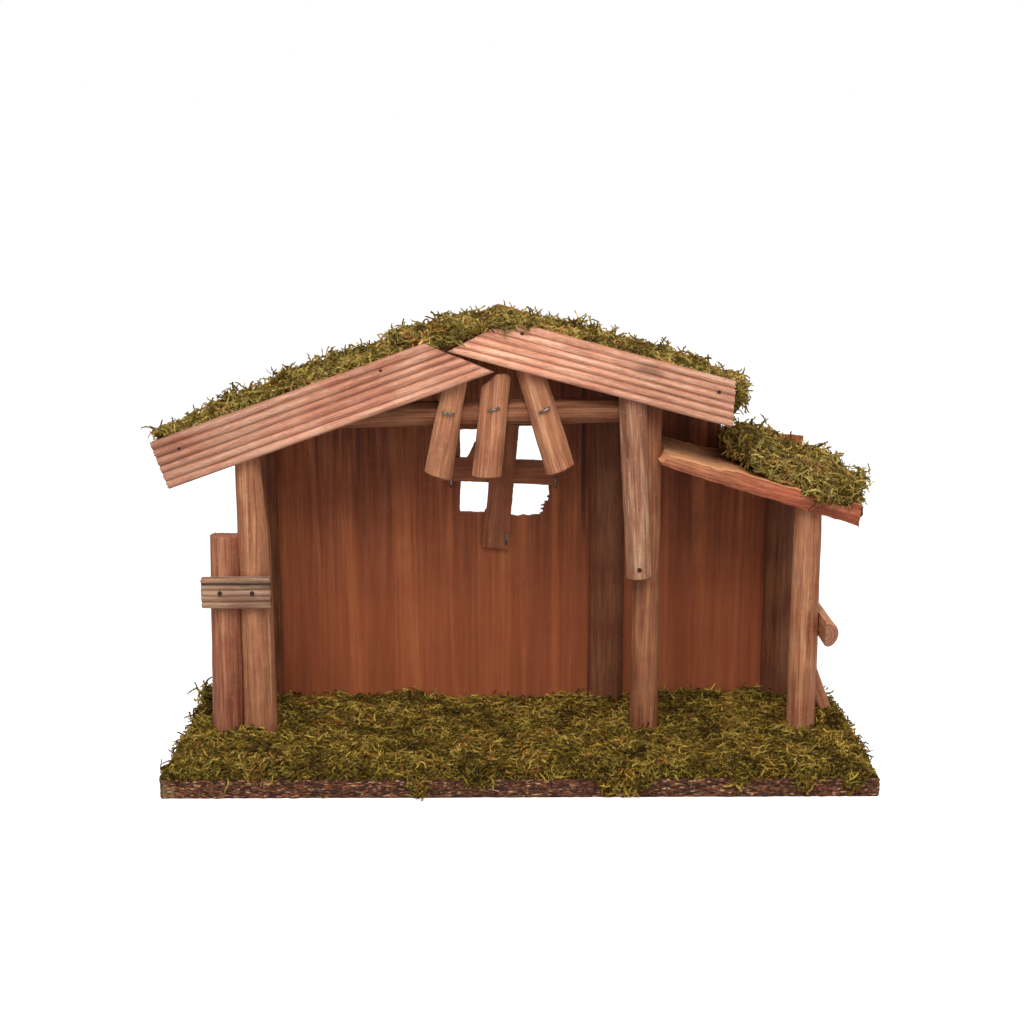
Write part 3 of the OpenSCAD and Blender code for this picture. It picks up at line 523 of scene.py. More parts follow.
def split_stick(node, foot, across, inwards, along, w_foot, w_top, depth, length, foot_slope=0.0, top_slope=0.0,
                seed=0.0, cracks=(), corner_cuts=(0.0, 0.0), finish=None, neck=None):
    """A split stick: round in front, sawn flat behind, with fibres, splits and worn arrises. A crack is an angle
    from the front in degrees, the heights that it starts and stops at, its width and its depth. A neck is the
    height from which the right side draws in, and how steeply."""
    n_round, n_flat, arris, worn, drawn_in, grain_shift = 44, 12, 0.12, 0.3, 0.5, 137
    middle = np.linspace(1.5, length - 1.5, max(8, int(length / 1.3)))
    steps = np.concatenate([[0.0, 0.5], middle, [length - 0.5, length]])
    foot, last = Vector(foot), len(steps) - 1
    points, own = [], []
    for k, z in enumerate(steps):
        t = z / length
        r = (w_foot + (w_top - w_foot) * t) / 2
        wide = math.acos(max(-1.0, min(1.0, (w_foot / 2 - depth) / r)))
        ring = []
        for j in range(n_round):
            a = -wide + 2 * wide * j / (n_round - 1)
            ring.append((r * math.sin(a), w_foot / 2 - r * math.cos(a), math.sin(a), -math.cos(a), a))
        side = ring[-1][0]
        ring += [(side * (1 - 2 * j / n_flat), depth, 0.0, 1.0, None) for j in range(1, n_flat)]
        for x, y, nx, ny, a in ring:
            out = 0.3 * wave(x * 0.16 + seed, y * 0.16, z * 0.045)
            out += 0.22 * wave(x * 0.9, y * 0.9 + seed, z * 0.05)
            out += 0.1 * wave(x * 2.2, y * 2.2 + seed, z * 0.12)
            for angle, z0, z1, width, deep in cracks:
                if a is not None and z0 < z < z1:
                    off = math.degrees(a) - angle - 3 * wave(z * 0.08, seed, angle)
                    near = off * math.pi / 180 * r / width
                    out -= deep * math.exp(-near * near) * min(1.0, (z - z0) / 5, (z1 - z) / 5)
            if a is not None and wide - abs(a) < arris:
                out -= worn
            if k in (0, last):
                out -= drawn_in
            px, py = x + nx * out, y + ny * out
            if neck and px > 0:
                px -= neck[1] * max(0.0, z - neck[0]) * px / r
            cut = corner_cuts[0] * max(0.0, 0.1 - px / r) / 1.1 + corner_cuts[1] * max(0.0, px / r - 0.75) / 0.25
            pz = foot_slope * px * (1 - t) + (length + top_slope * px - cut) * t
            if k in (0, last):
                pz += 0.35 * wave(px * 0.7, py * 0.7, seed + k)
            points.append(foot + across * px + inwards * py + along * pz)
            own.append((px * MM, py * MM, (pz + seed * grain_shift) * MM))
    n = n_round + n_flat - 1
    faces, caps = walls(last + 1, n), []
    for k in (0, last):
        ring = range(k * n, k * n + n)
        points.append(sum((points[i] for i in ring), Vector()) / n)
        own.append(tuple(np.mean([own[i] for i in ring], axis=0)))
        for j in range(n):
            caps.append(len(faces))
            faces.append((k * n + j, k * n + (j + 1) % n, len(points) - 1))
    made = piece(node + "_stick", points, faces, [finish or STICK, STICK_END], {"grain": own}, caps)
    return dress(made, "stick_wood", node)


def panel(node, loops, w0, w1, slot, finish, edge=None, seed=0.0, rough=0.25, rows=1, row_rough=0.0, step=1.6,
          grain=(0.0, 1.0), axes=(X, Z, Y), origin=Vector()):
    """A flat piece cut to an outline, with any holes, whose edges are hand-sawn and a little torn. The outline
    lies on the first two axes and the thickness on the third. Its outer edge is only ever worn inwards."""
    u_axis, v_axis, w_axis = axes
    worn, drawn_in, grain_shift = [], 0.25, 91
    for which, loop in enumerate(loops):
        sides = list(zip(loop, loop[1:] + loop[:1]))
        area = sum(a[0] * b[1] - b[0] * a[1] for a, b in sides)
        turn = (1 if area > 0 else -1) * (1 if which == 0 else -1)
        dense = []
        for a, b in sides:
            long = math.dist(a, b)
            inwards = (-(b[1] - a[1]) / long * turn, (b[0] - a[0]) / long * turn)
            count = max(1, round(long / step))
            for t in (i / count for i in range(count)):
                dense.append((a[0] + (b[0] - a[0]) * t, a[1] + (b[1] - a[1]) * t, inwards))
        worn.append(dense)
    points, own = [], []
    gx, gy = grain[1], -grain[0]
    for row in range(rows + 1):
        w = w0 + (w1 - w0) * row / rows
        for which, dense in enumerate(worn):
            for u, v, inwards in dense:
                deep = rough * (0.5 + 0.5 * wave(u * 0.35 + seed, v * 0.35, which))
                deep += rough * 0.5 * abs(wave(u * 1.3, v * 1.3, seed))
                deep += row_rough * (0.5 + wave(u * 0.3 + seed, v * 0.3, row * 1.7))
                if row in (0, rows) and rows > 1:
                    deep += drawn_in
                pu, pv = u + inwards[0] * max(0.0, deep), v + inwards[1] * max(0.0, deep)
                points.append(origin + u_axis * pu + v_axis * pv + w_axis * w)
                along = pu * grain[0] + pv * grain[1] + seed * grain_shift
                own.append(((pu * gx + pv * gy) * MM, w * MM, along * MM))
    per_row = sum(len(d) for d in worn)
    faces, ends = [], []
    for row in range(rows):
        start = row * per_row
        for dense in worn:
            m = len(dense)
            for j in range(m):
                a, b = start + j, start + (j + 1) % m
                ends.append(len(faces))
                faces.append((a, b, b + per_row, a + per_row))
            start += m
    for row in (0, rows):
        flat, i = [], row * per_row
        for dense in worn:
            loop = [p - origin for p in points[i:i + len(dense)]]
            flat.append([Vector((p.dot(u_axis), p.dot(v_axis), 0.0)) for p in loop])
            i += len(dense)
        faces += [tuple(row * per_row + k for k in tri) for tri in geometry.tessellate_polygon(flat)]
    made = piece(node + "_wood", points, faces, [finish, edge or finish], {"grain": own}, ends)
    return dress(made, slot, node)


def tilted(degrees):
    """Across and along of a stick that leans to the right by that angle."""
    a = math.radians(degrees)
    return Vector((math.cos(a), 0, -math.sin(a))), Vector((math.sin(a), 0, math.cos(a)))


# A back post's widths at foot and top and its depth, then where the tie beam starts, how it leans and how far its
# slats spread, and the short log's place, height and lean, with the lean of the stick at the side
BACK_POST = (18.3, 17.5, 8)
BEAM_LEFT, BEAM_LEAN, SLAT_REACH = -115.4, math.radians(2), 68.5
LOG_X, LOG_TOP_X, LOG_FOOT, LOG_LEAN, PROP_LEAN = 56.6, 52.4, 87.4, 2.8, 21


def build_sticks():
    posts = [
        ("left_front_post", LEFT_X, FRONT_Y, (15.6, 14.8, 11), left_under(LEFT_X), LEFT_TAN,
         [(-38, 20, 120, 0.5, 0.7)]),
        ("middle_front_post", MIDDLE_X, -1, (13.4, 12.6, 11), right_under(MIDDLE_X), -RIGHT_TAN,
         [(20, 5, 110, 0.5, 0.6)]),
        ("right_front_post", RIGHT_X, FRONT_Y, (13.4, 12.6, 11), lean_under(RIGHT_SIDE) + 1.4, -0.22,
         [(14, 36, 66, 0.6, 1.4), (-30, 4, 96, 0.4, 0.5), (42, 30, 100, 0.4, 0.6)]),
        ("left_back_post", LEFT_BACK_X, BACK_Y, BACK_POST, left_under(LEFT_BACK_X), LEFT_TAN,
         [(10, 10, 130, 0.5, 0.5)]),
        ("middle_back_post", MIDDLE_BACK_X, BACK_Y, BACK_POST, right_under(MIDDLE_BACK_X), -RIGHT_TAN,
         [(-20, 10, 150, 0.5, 0.5)]),
        ("right_back_post", RIGHT_BACK_X, BACK_Y, BACK_POST, lean_under(RIGHT_BACK_X), -LEAN_TAN,
         [(-25, 5, 90, 0.5, 0.6)])]
    for i, (node, px, py, size, top, slope, cracks) in enumerate(posts):
        # The back posts and the middle front post take darker copies of the stick wood, which are painted shade
        finish = SHADED if py == BACK_Y else PAINTED_SHADE_STICK if node == "middle_front_post" else None
        split_stick(node, (px, py, BASE_T), X, Y, Z, *size, top - BASE_T, top_slope=slope, seed=1.7 * i + 0.3,
                    cracks=cracks, finish=finish, neck=(96, 0.095) if node == "left_front_post" else None)
    across, along = tilted(-LOG_LEAN)
    length = (right_under(LOG_TOP_X) - LOG_FOOT) / math.cos(math.radians(LOG_LEAN))
    split_stick("front_log", (LOG_X, FRONT_Y, LOG_FOOT), across, Y, along, 12.0, 12.8, 6, length,
                top_slope=-RIGHT_TAN, seed=12.1, cracks=[(-12, 30, 90, 0.4, 0.5)], finish=LOG)
    a = math.radians(1)
    # The tie beam takes the darker beam wood, which is painted shade from the roof above it
    split_stick("tie_beam", (-115.0, -1, 163.0), Vector((math.sin(a), 0, -math.cos(a))), Y,
                Vector((math.cos(a), 0, math.sin(a))), 11.6, 11.6, 8, 169.0, seed=14.6,
                cracks=[(-20, 60, 150, 0.4, 0.5)], finish=PAINTED_SHADE_BEAM)
    beam_z = left_under(BEAM_LEFT) - 4.2 + (RIDGE_X - BEAM_LEFT) * math.tan(BEAM_LEAN)
    slats = [("left_slat", -0.423, 0.609, 45, 1, 10.9, 13.6, 11.2, 7, (0.0, 0.0)),
             ("centre_slat", -0.093, 0.591, 47, 1.5, 5.7, 14.0, 13.4, -4, (7.0, 1.6)),
             ("right_slat", 0.405, 0.528, 47, 3, -16.9, 14.6, 13.2, -5, (0.0, 0.0))]
    for i, (node, step, drop, length, longer, lean, w_foot, w_top, end, corners) in enumerate(slats):
        across, along = tilted(lean)
        foot = (RIDGE_X + step * SLAT_REACH, FRONT_Y, beam_z - drop * length)
        cracks = [(-24 + 18 * i, 4, length - 6, 0.35, 0.5), (20, 0, 20, 0.3, 0.5)]
        split_stick(node, foot, across, Y, along, w_foot, w_top, 6, length + longer, seed=20.0 + 3.1 * i,
                    foot_slope=-math.tan(math.radians(end)), corner_cuts=corners, cracks=cracks)
    across, along = tilted(1.4)
    split_stick("fence_post", (-138.9, FRONT_Y, BASE_T), across, Y, along, 14.6, 14.2, 11, 100.0, seed=31.3,
                cracks=[(16, 50, 96, 0.4, 0.6)], finish=RED_STICK)
    split_stick("side_rail", (147.6, -19.0, 64.5), Z, -X, Y, 12, 12, 6, 74.0, seed=33.9,
                cracks=[(12, 0, 40, 0.4, 0.6)])
    across, along = tilted(-PROP_LEAN)
    split_stick("side_prop", (151.9, 10.0, BASE_T), across, -Y, along, 6.4, 6.4, 6, 44.45,
                foot_slope=math.tan(math.radians(PROP_LEAN)), seed=36.2)


# The window's edge where it is broken away in splinters, and the broken spur on the arm of the cross
TORN = [(12.3, 106.3), (11.0, 107.2), (12.4, 107.5), (12.5, 108.7), (11.4, 109.3), (12.9, 109.6), (12.9, 110.8),
        (11.5, 111.1), (13.2, 111.6), (14.4, 112.4), (13.2, 113.0), (15.0, 113.2), (15.4, 114.6), (14.5, 115.5),
        (15.5, 116.0), (15.2, 121.0)]
HOLE = [(-20.8, 149.2), (-28.0, 149.2), (-27.8, 123.0), (-28.5, 107.9), (-9.0, 107.5), (-8.4, 105.8),
        (-2.6, 106.2), (0.2, 105.7), (3.0, 106.4), (6.0, 105.8), (9.2, 106.5)] + TORN + [(15.5, 150.8), (0.9, 150.8)]
SPUR = [(-16.5, 135.4), (-17.4, 144.0), (-21.3, 143.3), (-22.2, 141.1), (-25.0, 135.8)]
UPRIGHT = [(-6.9, 0), (6.8, 0), (6.5, 18), (6.5, 64.2), (-6.4, 64.2), (-6.4, 20), (-7.3, 19), (-7.3, 10)]
LEAN_OUTLINE = [(65.6, 141.8), (99.9, 130.6), (157.3, 112.8), (157.9, 124.0), (117.2, 134.6), (106.3, 137.9),
                (99.7, 140.1), (92.3, 141.0), (86.2, 142.7), (68.0, 147.6), (66.6, 145.2), (64.4, 143.6)]


def build_panels():
    w, d, b = BASE_W / 2, BASE_D / 2, 1.2
    outline = [(-w + b, -d), (w - b, -d), (w, -d + b), (w, d - b), (w - b, d), (-w + b, d), (-w, d - b),
               (-w, -d + b)]
    larger_right, larger_left, larger_front = 1.3, 0.6, 0.6
    outline = [(u + (larger_right if u > 0 else -larger_left), v - (larger_front if v < 0 else 0.0))
               for u, v in outline]
    panel("base_board", [outline], 0, BASE_T, "fibreboard", FIBRE, seed=2.0, rough=0.3, rows=9, row_rough=0.5,
          step=1.3, grain=(1.0, 0.0), axes=(X, Y, Z))
    left, right, step_x = -137.0, RIGHT_SIDE, ROOF_RIGHT + 3
    shoulder = lean_under(right) + 27
    wall = [(left, BASE_T), (right, BASE_T), (right, shoulder),
            (step_x, shoulder + (right - step_x) * math.tan(math.radians(6))), (step_x, right_top(step_x) - 1),
            (RIDGE_X, RIDGE_Z + 4), (left, left_top(left) + 4)]
    panel("back_wall", [wall, HOLE], WALL_Y, WALL_Y + WALL_T, "plywood", PLY, seed=5.0, rough=0.5, step=1.5)
    arm = [(-35.0, 123.9), (20.2, 121.4), (20.2, 134.0)] + SPUR + [(-35.0, 136.2)]
    panel("cross_arm", [arm], WALL_Y - CROSS_T, WALL_Y, "plywood", CROSS, seed=7.0, rough=0.4, step=1.0,
          grain=(1.0, 0.0))
    across, along = tilted(5.2)
    lean = math.atan(CROSS_T / 34.0)
    up = Vector((along[0] * math.cos(lean), -math.sin(lean), along[2] * math.cos(lean)))
    panel("cross_upright", [UPRIGHT], 0.6, -CROSS_T, "plywood", CROSS, seed=9.0, rough=0.4, step=1.0,
          axes=(across, up, -across.cross(up)), origin=Vector((-11.0, WALL_Y - 0.6, 89.8)))
    for node, end, top, under, pitch, turn, seed in (
            ("left_roof_board", ROOF_LEFT, left_top, left_under, LEFT_PITCH, 1, 11.0),
            ("right_roof_board", ROOF_RIGHT, right_top, right_under, RIGHT_PITCH, -1, 13.0)):
        s, c = turn * math.sin(pitch), math.cos(pitch)
        outline = [(RIDGE_X, RIDGE_Z), (end, top(end)), (end + ROOF_T * s, top(end) - ROOF_T * c),
                   (RIDGE_X, under(RIDGE_X))]
        if turn < 0:
            outline = outline[:1] + outline[:0:-1]
        panel(node, [outline], FRONT_Y, WALL_Y, "roof_board_wood", BOARD, seed=seed, rough=0.2, rows=24,
              row_rough=0.2, grain=(c, s))
    a = math.radians(17)
    # The board's edges, its top among them, take the paler plank wood, which is painted light
    panel("lean_to_board", [LEAN_OUTLINE], FRONT_Y - STRIP_T, WALL_Y, "roof_board_wood", PLANK, edge=PLANK_TOP_PAINTED_LIGHT,
          seed=15.0, rough=0.5, rows=26, row_rough=0.4, grain=(math.cos(a), -math.sin(a)))


# Pins and staples


def drawn(name, node, rings, n, finish):
    """Steel pieces, each a list of rings of n points with both ends closed."""
    points, faces = [], []
    for each in rings:
        start = len(points)
        points += each
        count = len(each) // n
        faces += walls(count, n, start)
        faces += [tuple(start + k * n + j for j in range(n)) for k in (0, count - 1)]
    return dress(piece(name, points, faces, [finish]), "steel", node)


def pins(node, places, profile, seed=0.0):
    """Round pins that share one outline, a list of radius and depth. Each has a place and the way it goes in."""
    rings, n = [], 10
    for place, inwards in places:
        inwards = Vector(inwards).normalized()
        side = inwards.orthogonal().normalized()
        other = inwards.cross(side)
        own, pin = seed + len(rings) * len(profile) * n * 0.3, []
        for radius, deep in profile:
            for j in range(n):
                a = 2 * math.pi * j / n
                r = radius * (1 + 0.12 * wave(j * 1.7, own, deep))
                pin.append(Vector(place) + inwards * deep + (side * math.cos(a) + other * math.sin(a)) * r)
        rings.append(pin)
    return drawn(node + "_pins", node, rings, n, BRAD_RUST_AND_SHADE)


def staples(node, places, span, radius):
    """Bent wires: each lies at a place with its crown along a direction and its legs going in along Y."""
    rings, n, leg_end, bend = [], 8, 2.4, radius * 1.2
    walk = [(-span / 2, leg_end, 1.0), (-span / 2, bend, 1.0), (-span / 2 + bend, 0.0, 0.0),
            (span / 2 - bend, 0.0, 0.0), (span / 2, bend, -1.0), (span / 2, leg_end, -1.0)]
    for place, degrees in places:
        along, wire = Vector((math.cos(math.radians(degrees)), 0, math.sin(math.radians(degrees)))), []
        for k, (run, deep, leg) in enumerate(walk):
            flat = Y if leg == 0 else along * leg
            if k in (1, 4):
                flat = (Y + along * leg).normalized()
            for j in range(n):
                a = 2 * math.pi * j / n
                wire.append(Vector(place) + along * run + Y * deep
                            + (flat * math.cos(a) + along.cross(Y) * math.sin(a)) * radius)
        rings.append(wire)
    return drawn(node + "_wires", node, rings, n, STEEL)


def build_fasteners():
    front, wire, back = FRONT_Y - STRIP_T, 0.55, 48.0
    brads = [(-154.0, 151.2), (-61.7, 186.0), (1.9, 202.3), (90.8, 175.9)]
    pins("fascia_brads", [((x, front + 0.15, z), Y) for x, z in brads], [(0.55, 0.0), (0.85, 0.2), (0.8, 2.6)],
         seed=2.0)
    left = (math.sin(LEFT_PITCH), 0, -math.cos(LEFT_PITCH))
    right = (-math.sin(RIGHT_PITCH), 0, -math.cos(RIGHT_PITCH))
    nails = [((x, y, left_top(x)), left) for x, y in ((LEFT_X, -1.5), (LEFT_BACK_X, back))]
    nails += [((x, y, right_top(x)), right) for x, y in ((MIDDLE_X, 4.5), (MIDDLE_BACK_X, back))]
    nails += [((x, y, lean_top(x) - 0.5), -Z) for x, y in ((RIGHT_X, -1.5), (RIGHT_BACK_X, back))]
    pins("roof_nails", nails, [(1.5, 0.0), (1.7, 0.4), (0.8, 0.6), (0.8, 5.5), (0.2, 7.5)], seed=5.0)
    crowns = [((-31.7, 166.0), -6), ((-10.9, 167.7), 12), ((12.1, 167.3), 26)]
    staples("slat_staples", [((x, FRONT_Y - 0.35, z), turn) for (x, z), turn in crowns], 5.2, wire)
    arm_y, foot_y = WALL_Y - 2.6, 48.3
    crowns = [((-32.7, arm_y, 124.0), 90), ((19.0, arm_y, 123.6), 90), ((-5.3, foot_y, 95.2), 85)]
    staples("cross_staples", crowns, 6.2, wire)


# Combed strips


def geometry_tree(name, inputs):
    """A Geometry Nodes tree with named inputs: numbers with their usual values, or the kind of thing they are."""
    tree = bpy.data.node_groups.new(name, "GeometryNodeTree")
    tree.interface.new_socket("Geometry", in_out="INPUT", socket_type="NodeSocketGeometry")
    for title, value in inputs.items():
        kind = value if isinstance(value, str) else "Int" if isinstance(value, int) else "Float"
        made = tree.interface.new_socket(title, in_out="INPUT", socket_type="NodeSocket" + kind)
        if kind != value:
            made.default_value = value
    tree.interface.new_socket("Geometry", in_out="OUTPUT", socket_type="NodeSocketGeometry")
    return tree, Outputs(tree, tree.nodes.new("NodeGroupInput"))


def tree_gives(tree, shape, finish):
    made = add(tree, "GeometryNodeSetMaterial", {"Geometry": shape, "Material": finish})[0]
    fill(tree, tree.nodes.new("NodeGroupOutput").inputs, {0: made})
    return tree


def capture(tree, shape, values):
    """Keeps named values on a shape, and gives back the shape and the kept values."""
    made = add(tree, "GeometryNodeCaptureAttribute")
    for title in values:
        made.node.capture_items.new("FLOAT", title)
    fill(tree, made.node.inputs, dict(enumerate([shape, *values.values()])))
    return [made[i] for i in range(len(values) + 1)]


def keep(tree, shape, title, value, kind="FLOAT", domain="POINT"):
    """Keeps a named value on a shape for its finish to read."""
    return add(tree, "GeometryNodeStoreNamedAttribute", {"Geometry": shape, "Name": title, "Value": value},
               data_type=kind, domain=domain)[0]


def grow(name, start, tree, values):
    """The plain mesh that a Geometry Nodes tree makes from a start mesh, with these named inputs."""
    obj = put(name, start)
    modifier = obj.modifiers.new("Shape", "NODES")
    modifier.node_group = tree
    for socket in tree.interface.items_tree:
        if socket.item_type == "SOCKET" and socket.in_out == "INPUT" and socket.name in values:
            modifier[socket.identifier] = values[socket.name]
    settle(obj)
    return obj


SECTION_POINTS, LENGTH_POINTS = 99, 170


def combed_strip_tree():
    """A strip with rounded ridges along its front. Either end may run at a slant, and both are torn."""
    tree, given = geometry_tree("Combed strip", {
        "Width": 0.02, "Thickness": 0.004, "Ridge height": 0.0013, "Ridges": 6.0, "Lower length": 0.1,
        "Upper length": 0.1, "Wear": 0.0003, "Torn ends": 0.0006, "Seed": 0.0, "Slant": 0.0, "Wood": "Material"})
    wear, seed = given["Wear"], given["Seed"]
    line = add(tree, "GeometryNodeCurvePrimitiveLine")[0]
    section, path = (add(tree, "GeometryNodeResampleCurve", {"Curve": line, "Count": count})[0]
                     for count in (SECTION_POINTS, LENGTH_POINTS))
    index = add(tree, "GeometryNodeInputIndex")[0]
    share = index.span(1.0, SECTION_POINTS - 2.0)
    front = index.math("GREATER_THAN", 0.5) * index.math("LESS_THAN", SECTION_POINTS - 1.5)
    kept, across, fore = capture(tree, section, {"Share": share, "Front": front})
    shaped = add(tree, "GeometryNodeSetPosition", {"Geometry": kept, "Position": join(tree, share, front)})[0]
    closed = add(tree, "GeometryNodeSetSplineCyclic", {"Geometry": shaped, "Cyclic": True})[0]
    walked, walk = capture(tree, path, {"Walk": add(tree, "GeometryNodeSplineParameter")["Factor"]})
    tube = add(tree, "GeometryNodeCurveToMesh", {"Curve": walked, "Profile Curve": closed, "Fill Caps": True})[0]
    ridge = (across * given["Ridges"] * math.pi).math("SINE").math("ABSOLUTE").math("POWER", 0.85)
    length = (given["Upper length"] - given["Lower length"]) * across + given["Lower length"]
    slant = given["Slant"] * (1.0 - across)
    run = walk * (length - slant) + slant
    worn = join(tree, run * 45.0, across * 42.0, seed).noise(1.0, 4.0, 0.6)
    broad = join(tree, run * 14.0, across * 5.0, seed).noise(1.0, 1.0)
    rub = wear * (worn * -1.6 + (broad * -1.6 + 1.1))
    thick = fore * (given["Thickness"] - given["Ridge height"] * (1.0 - ridge) + rub)
    near, far = (walk * -60.0 + 1.0).math("MAXIMUM", 0.0), (walk * 60.0 - 59.0).math("MAXIMUM", 0.0)
    tear = join(tree, across * 21.0, seed, walk.math("ROUND")).noise(1.0, 3.0, 0.7)
    torn = (tear * 3.0 - 1.3).math("MAXIMUM", 0.0) * given["Torn ends"] * (near - far)
    rise = across * given["Width"] + (broad - 0.5) * (wear * 3.2)
    place = join(tree, run + torn, thick, rise)
    placed = add(tree, "GeometryNodeSetPosition", {"Geometry": tube, "Position": place})[0]
    for title, kind, value in (("groove", "FLOAT", ridge.math("MAXIMUM", 1.0 - fore)),
                               ("grain", "FLOAT_VECTOR", join(tree, rise, thick, run + seed))):
        placed = keep(tree, placed, title, value, kind)
    return tree_gives(tree, placed, given["Wood"])


def combed_strip(node, tree, origin, along, up, width, lower, upper, ridges, seed, torn, comb=1.0, slant=0.0,
                 finish=None, brightness=None):
    """Lays a combed strip with its back on the plane of the front posts. Its finish grows lighter or darker along
    it.
    """
    obj = grow(node + "_strip", bpy.data.meshes.new(node), tree, {
        "Width": width * MM, "Thickness": STRIP_T * MM, "Ridge height": comb * MM, "Ridges": float(ridges),
        "Lower length": lower * MM, "Upper length": upper * MM, "Wear": 0.35 * MM, "Torn ends": torn * MM,
        "Seed": seed, "Slant": slant * MM, "Wood": finish or STRIP})
    mesh = obj.data
    local = read_points(mesh)
    a, u = np.array((along[0], 0, along[1])), np.array((up[0], 0, up[1]))
    world = np.array(origin) * MM + local[:, :1] * a + local[:, 2:] * u + local[:, 1:2] * np.array((0, -1, 0))
    mesh.vertices.foreach_set("co", world.ravel())
    mark(mesh, "brightness_along", brightness(world[:, 0] / MM, local[:, 2] / MM / width))
    mend(mesh)
    return dress(obj, "combed_strip_wood", node)


def build_strips():
    tree = combed_strip_tree()
    low, tip_under = PROUD - STRIP_W, 3.4
    right_low = RIDGE_Z + RIDGE_X * RIGHT_TAN + low / math.cos(RIGHT_PITCH)
    left_cut = RIDGE_Z - RIDGE_X * LEFT_TAN - tip_under / math.cos(LEFT_PITCH)
    tip_x = (right_low - left_cut) / (LEFT_TAN + RIGHT_TAN)
    tip = np.array([tip_x, left_cut + tip_x * LEFT_TAN])

    def reach(start, along, up, v, normal, shift):
        """How far a strip runs, v above its slope's line, until it meets the cut through the tip."""
        return (shift - (np.array(start) + v * np.array(up) - tip) @ normal) / (np.array(along) @ normal)

    def left_brightness(x, share):
        return np.interp(x, (-166, -154, -98, -38, -14), (0.78, 0.8, 0.97, 1.0, 1.04)) - 0.15 * share

    def right_brightness(x, share):
        return np.interp(x, (-30, -8, 12, 42, 98), (1.3, 1.3, 1.18, 0.98, 0.82)) - 0.02 * share

    # The rail is lighter over its first 16 mm from the left end; the dark band near its top is painted shade along a
    # groove
    def rail_brightness(x, share):
        return (1.0 - 0.3 * np.clip((x - left) / 16, 0, 1)) * (1 - 0.8 * np.exp(-((share - 0.8) / 0.06) ** 2))

    # How the left strip's mitre and the right strip's upper end are cut
    mitre, slope, left_end = math.radians(15.0 + 7.7), math.radians(27.6), ROOF_LEFT - 1.2
    for node, start, pitch, turn, bottom, top, cut, shift, seed, slant, brightness in (
            ("left_fascia", (left_end, left_top(left_end)), LEFT_PITCH, 1, -19.8, 3.0,
             (math.sin(mitre), math.cos(mitre)), -0.2, 3.0, 0.0, left_brightness),
            ("right_fascia", (ROOF_RIGHT, right_top(ROOF_RIGHT)), RIGHT_PITCH, -1, low, PROUD,
             (-math.sin(slope), math.cos(slope)), -0.6, 8.0, -4.4, right_brightness)):
        along, up = (turn * math.cos(pitch), math.sin(pitch)), (-turn * math.sin(pitch), math.cos(pitch))
        lower, upper = (reach(start, along, up, v, np.array(cut), shift) for v in (bottom, top))
        origin = (start[0] + bottom * up[0], FRONT_Y, start[1] + bottom * up[1])
        combed_strip(node, tree, origin, along, up, top - bottom, lower, upper, 6, seed, 1.3, slant=slant,
                     brightness=brightness)
    fence_x, half_fence, half_post, past = -139.81, 6.2, 7.8, 1.0
    left, right = fence_x - half_fence - past, LEFT_X + half_post + past
    length = right - left
    combed_strip("fence_rail", tree, (left, FRONT_Y, 75.6), (1, 0), (0, 1), 14.4, length, length, 5, 13.0, 1.8,
                 comb=0.8, finish=RAIL, brightness=rail_brightness)


# Moss


LEAF_FACES = ((0, 2, 1), (0, 1, 3), (1, 2, 3), (2, 0, 3))


def sprig_meshes():
    """Six moss sprigs: a gently curved stem along X, closely set all round with small scale-like leaves."""
    rng = np.random.default_rng(11)
    made = bpy.data.collections.new("Sprigs")
    scene.collection.children.link(made)
    for k in range(6):
        stem, heading, rise = [np.zeros(3)], rng.uniform(-0.3, 0.3), rng.uniform(0.0, 0.2)
        for i in range(4):
            heading += rng.uniform(-0.5, 0.5)
            rise += rng.uniform(-0.36, 0.24)
            flat = math.cos(rise)
            onwards = np.array([math.cos(heading) * flat, math.sin(heading) * flat, math.sin(rise)])
            stem.append(stem[-1] + 1.35 * onwards)
        points, tips = [], []
        for i, p in enumerate(stem[:-1]):
            thick = 0.42 * (1 - 0.15 * i)
            for j in range(3):
                a = 2 * math.pi * j / 3 + 0.5 * k
                points.append(p + thick * np.array([0, math.cos(a), math.sin(a)]))
                tips.append(0.2 + 0.5 * i / 4)
        faces, last = walls(4, 3), len(points)
        points.append(stem[-1])
        tips.append(0.9)
        faces += [(last - 3 + j, last - 3 + (j + 1) % 3, last) for j in range(3)] + [(2, 1, 0)]
        for i in range(11):
            t = 0.2 + 3.6 * i / 10
            onwards = stem[int(t) + 1] - stem[int(t)]
            at = stem[int(t)] + (t % 1) * onwards
            onwards = onwards / np.linalg.norm(onwards)
            sideways = np.cross(onwards, rng.normal(size=3))
            sideways /= np.linalg.norm(sideways)
            leaf = at + rng.uniform(1.0, 1.6) * (sideways * 0.5 + onwards * 0.87)
            wide = np.cross(onwards, sideways) * 0.42
            start = len(points)
            points += [at - wide, at + wide, at + onwards * 0.7 - sideways * 0.1, leaf]
            tips += [0.1, 0.1, 0.3, 1.0]
            faces += [(start + a, start + b, start + c) for a, b, c in LEAF_FACES]
        obj = piece("sprig_%d" % k, points, faces, [GROUND_MOSS], {"tip": tips})
        scene.collection.objects.unlink(obj)
        made.objects.link(obj)
    return made


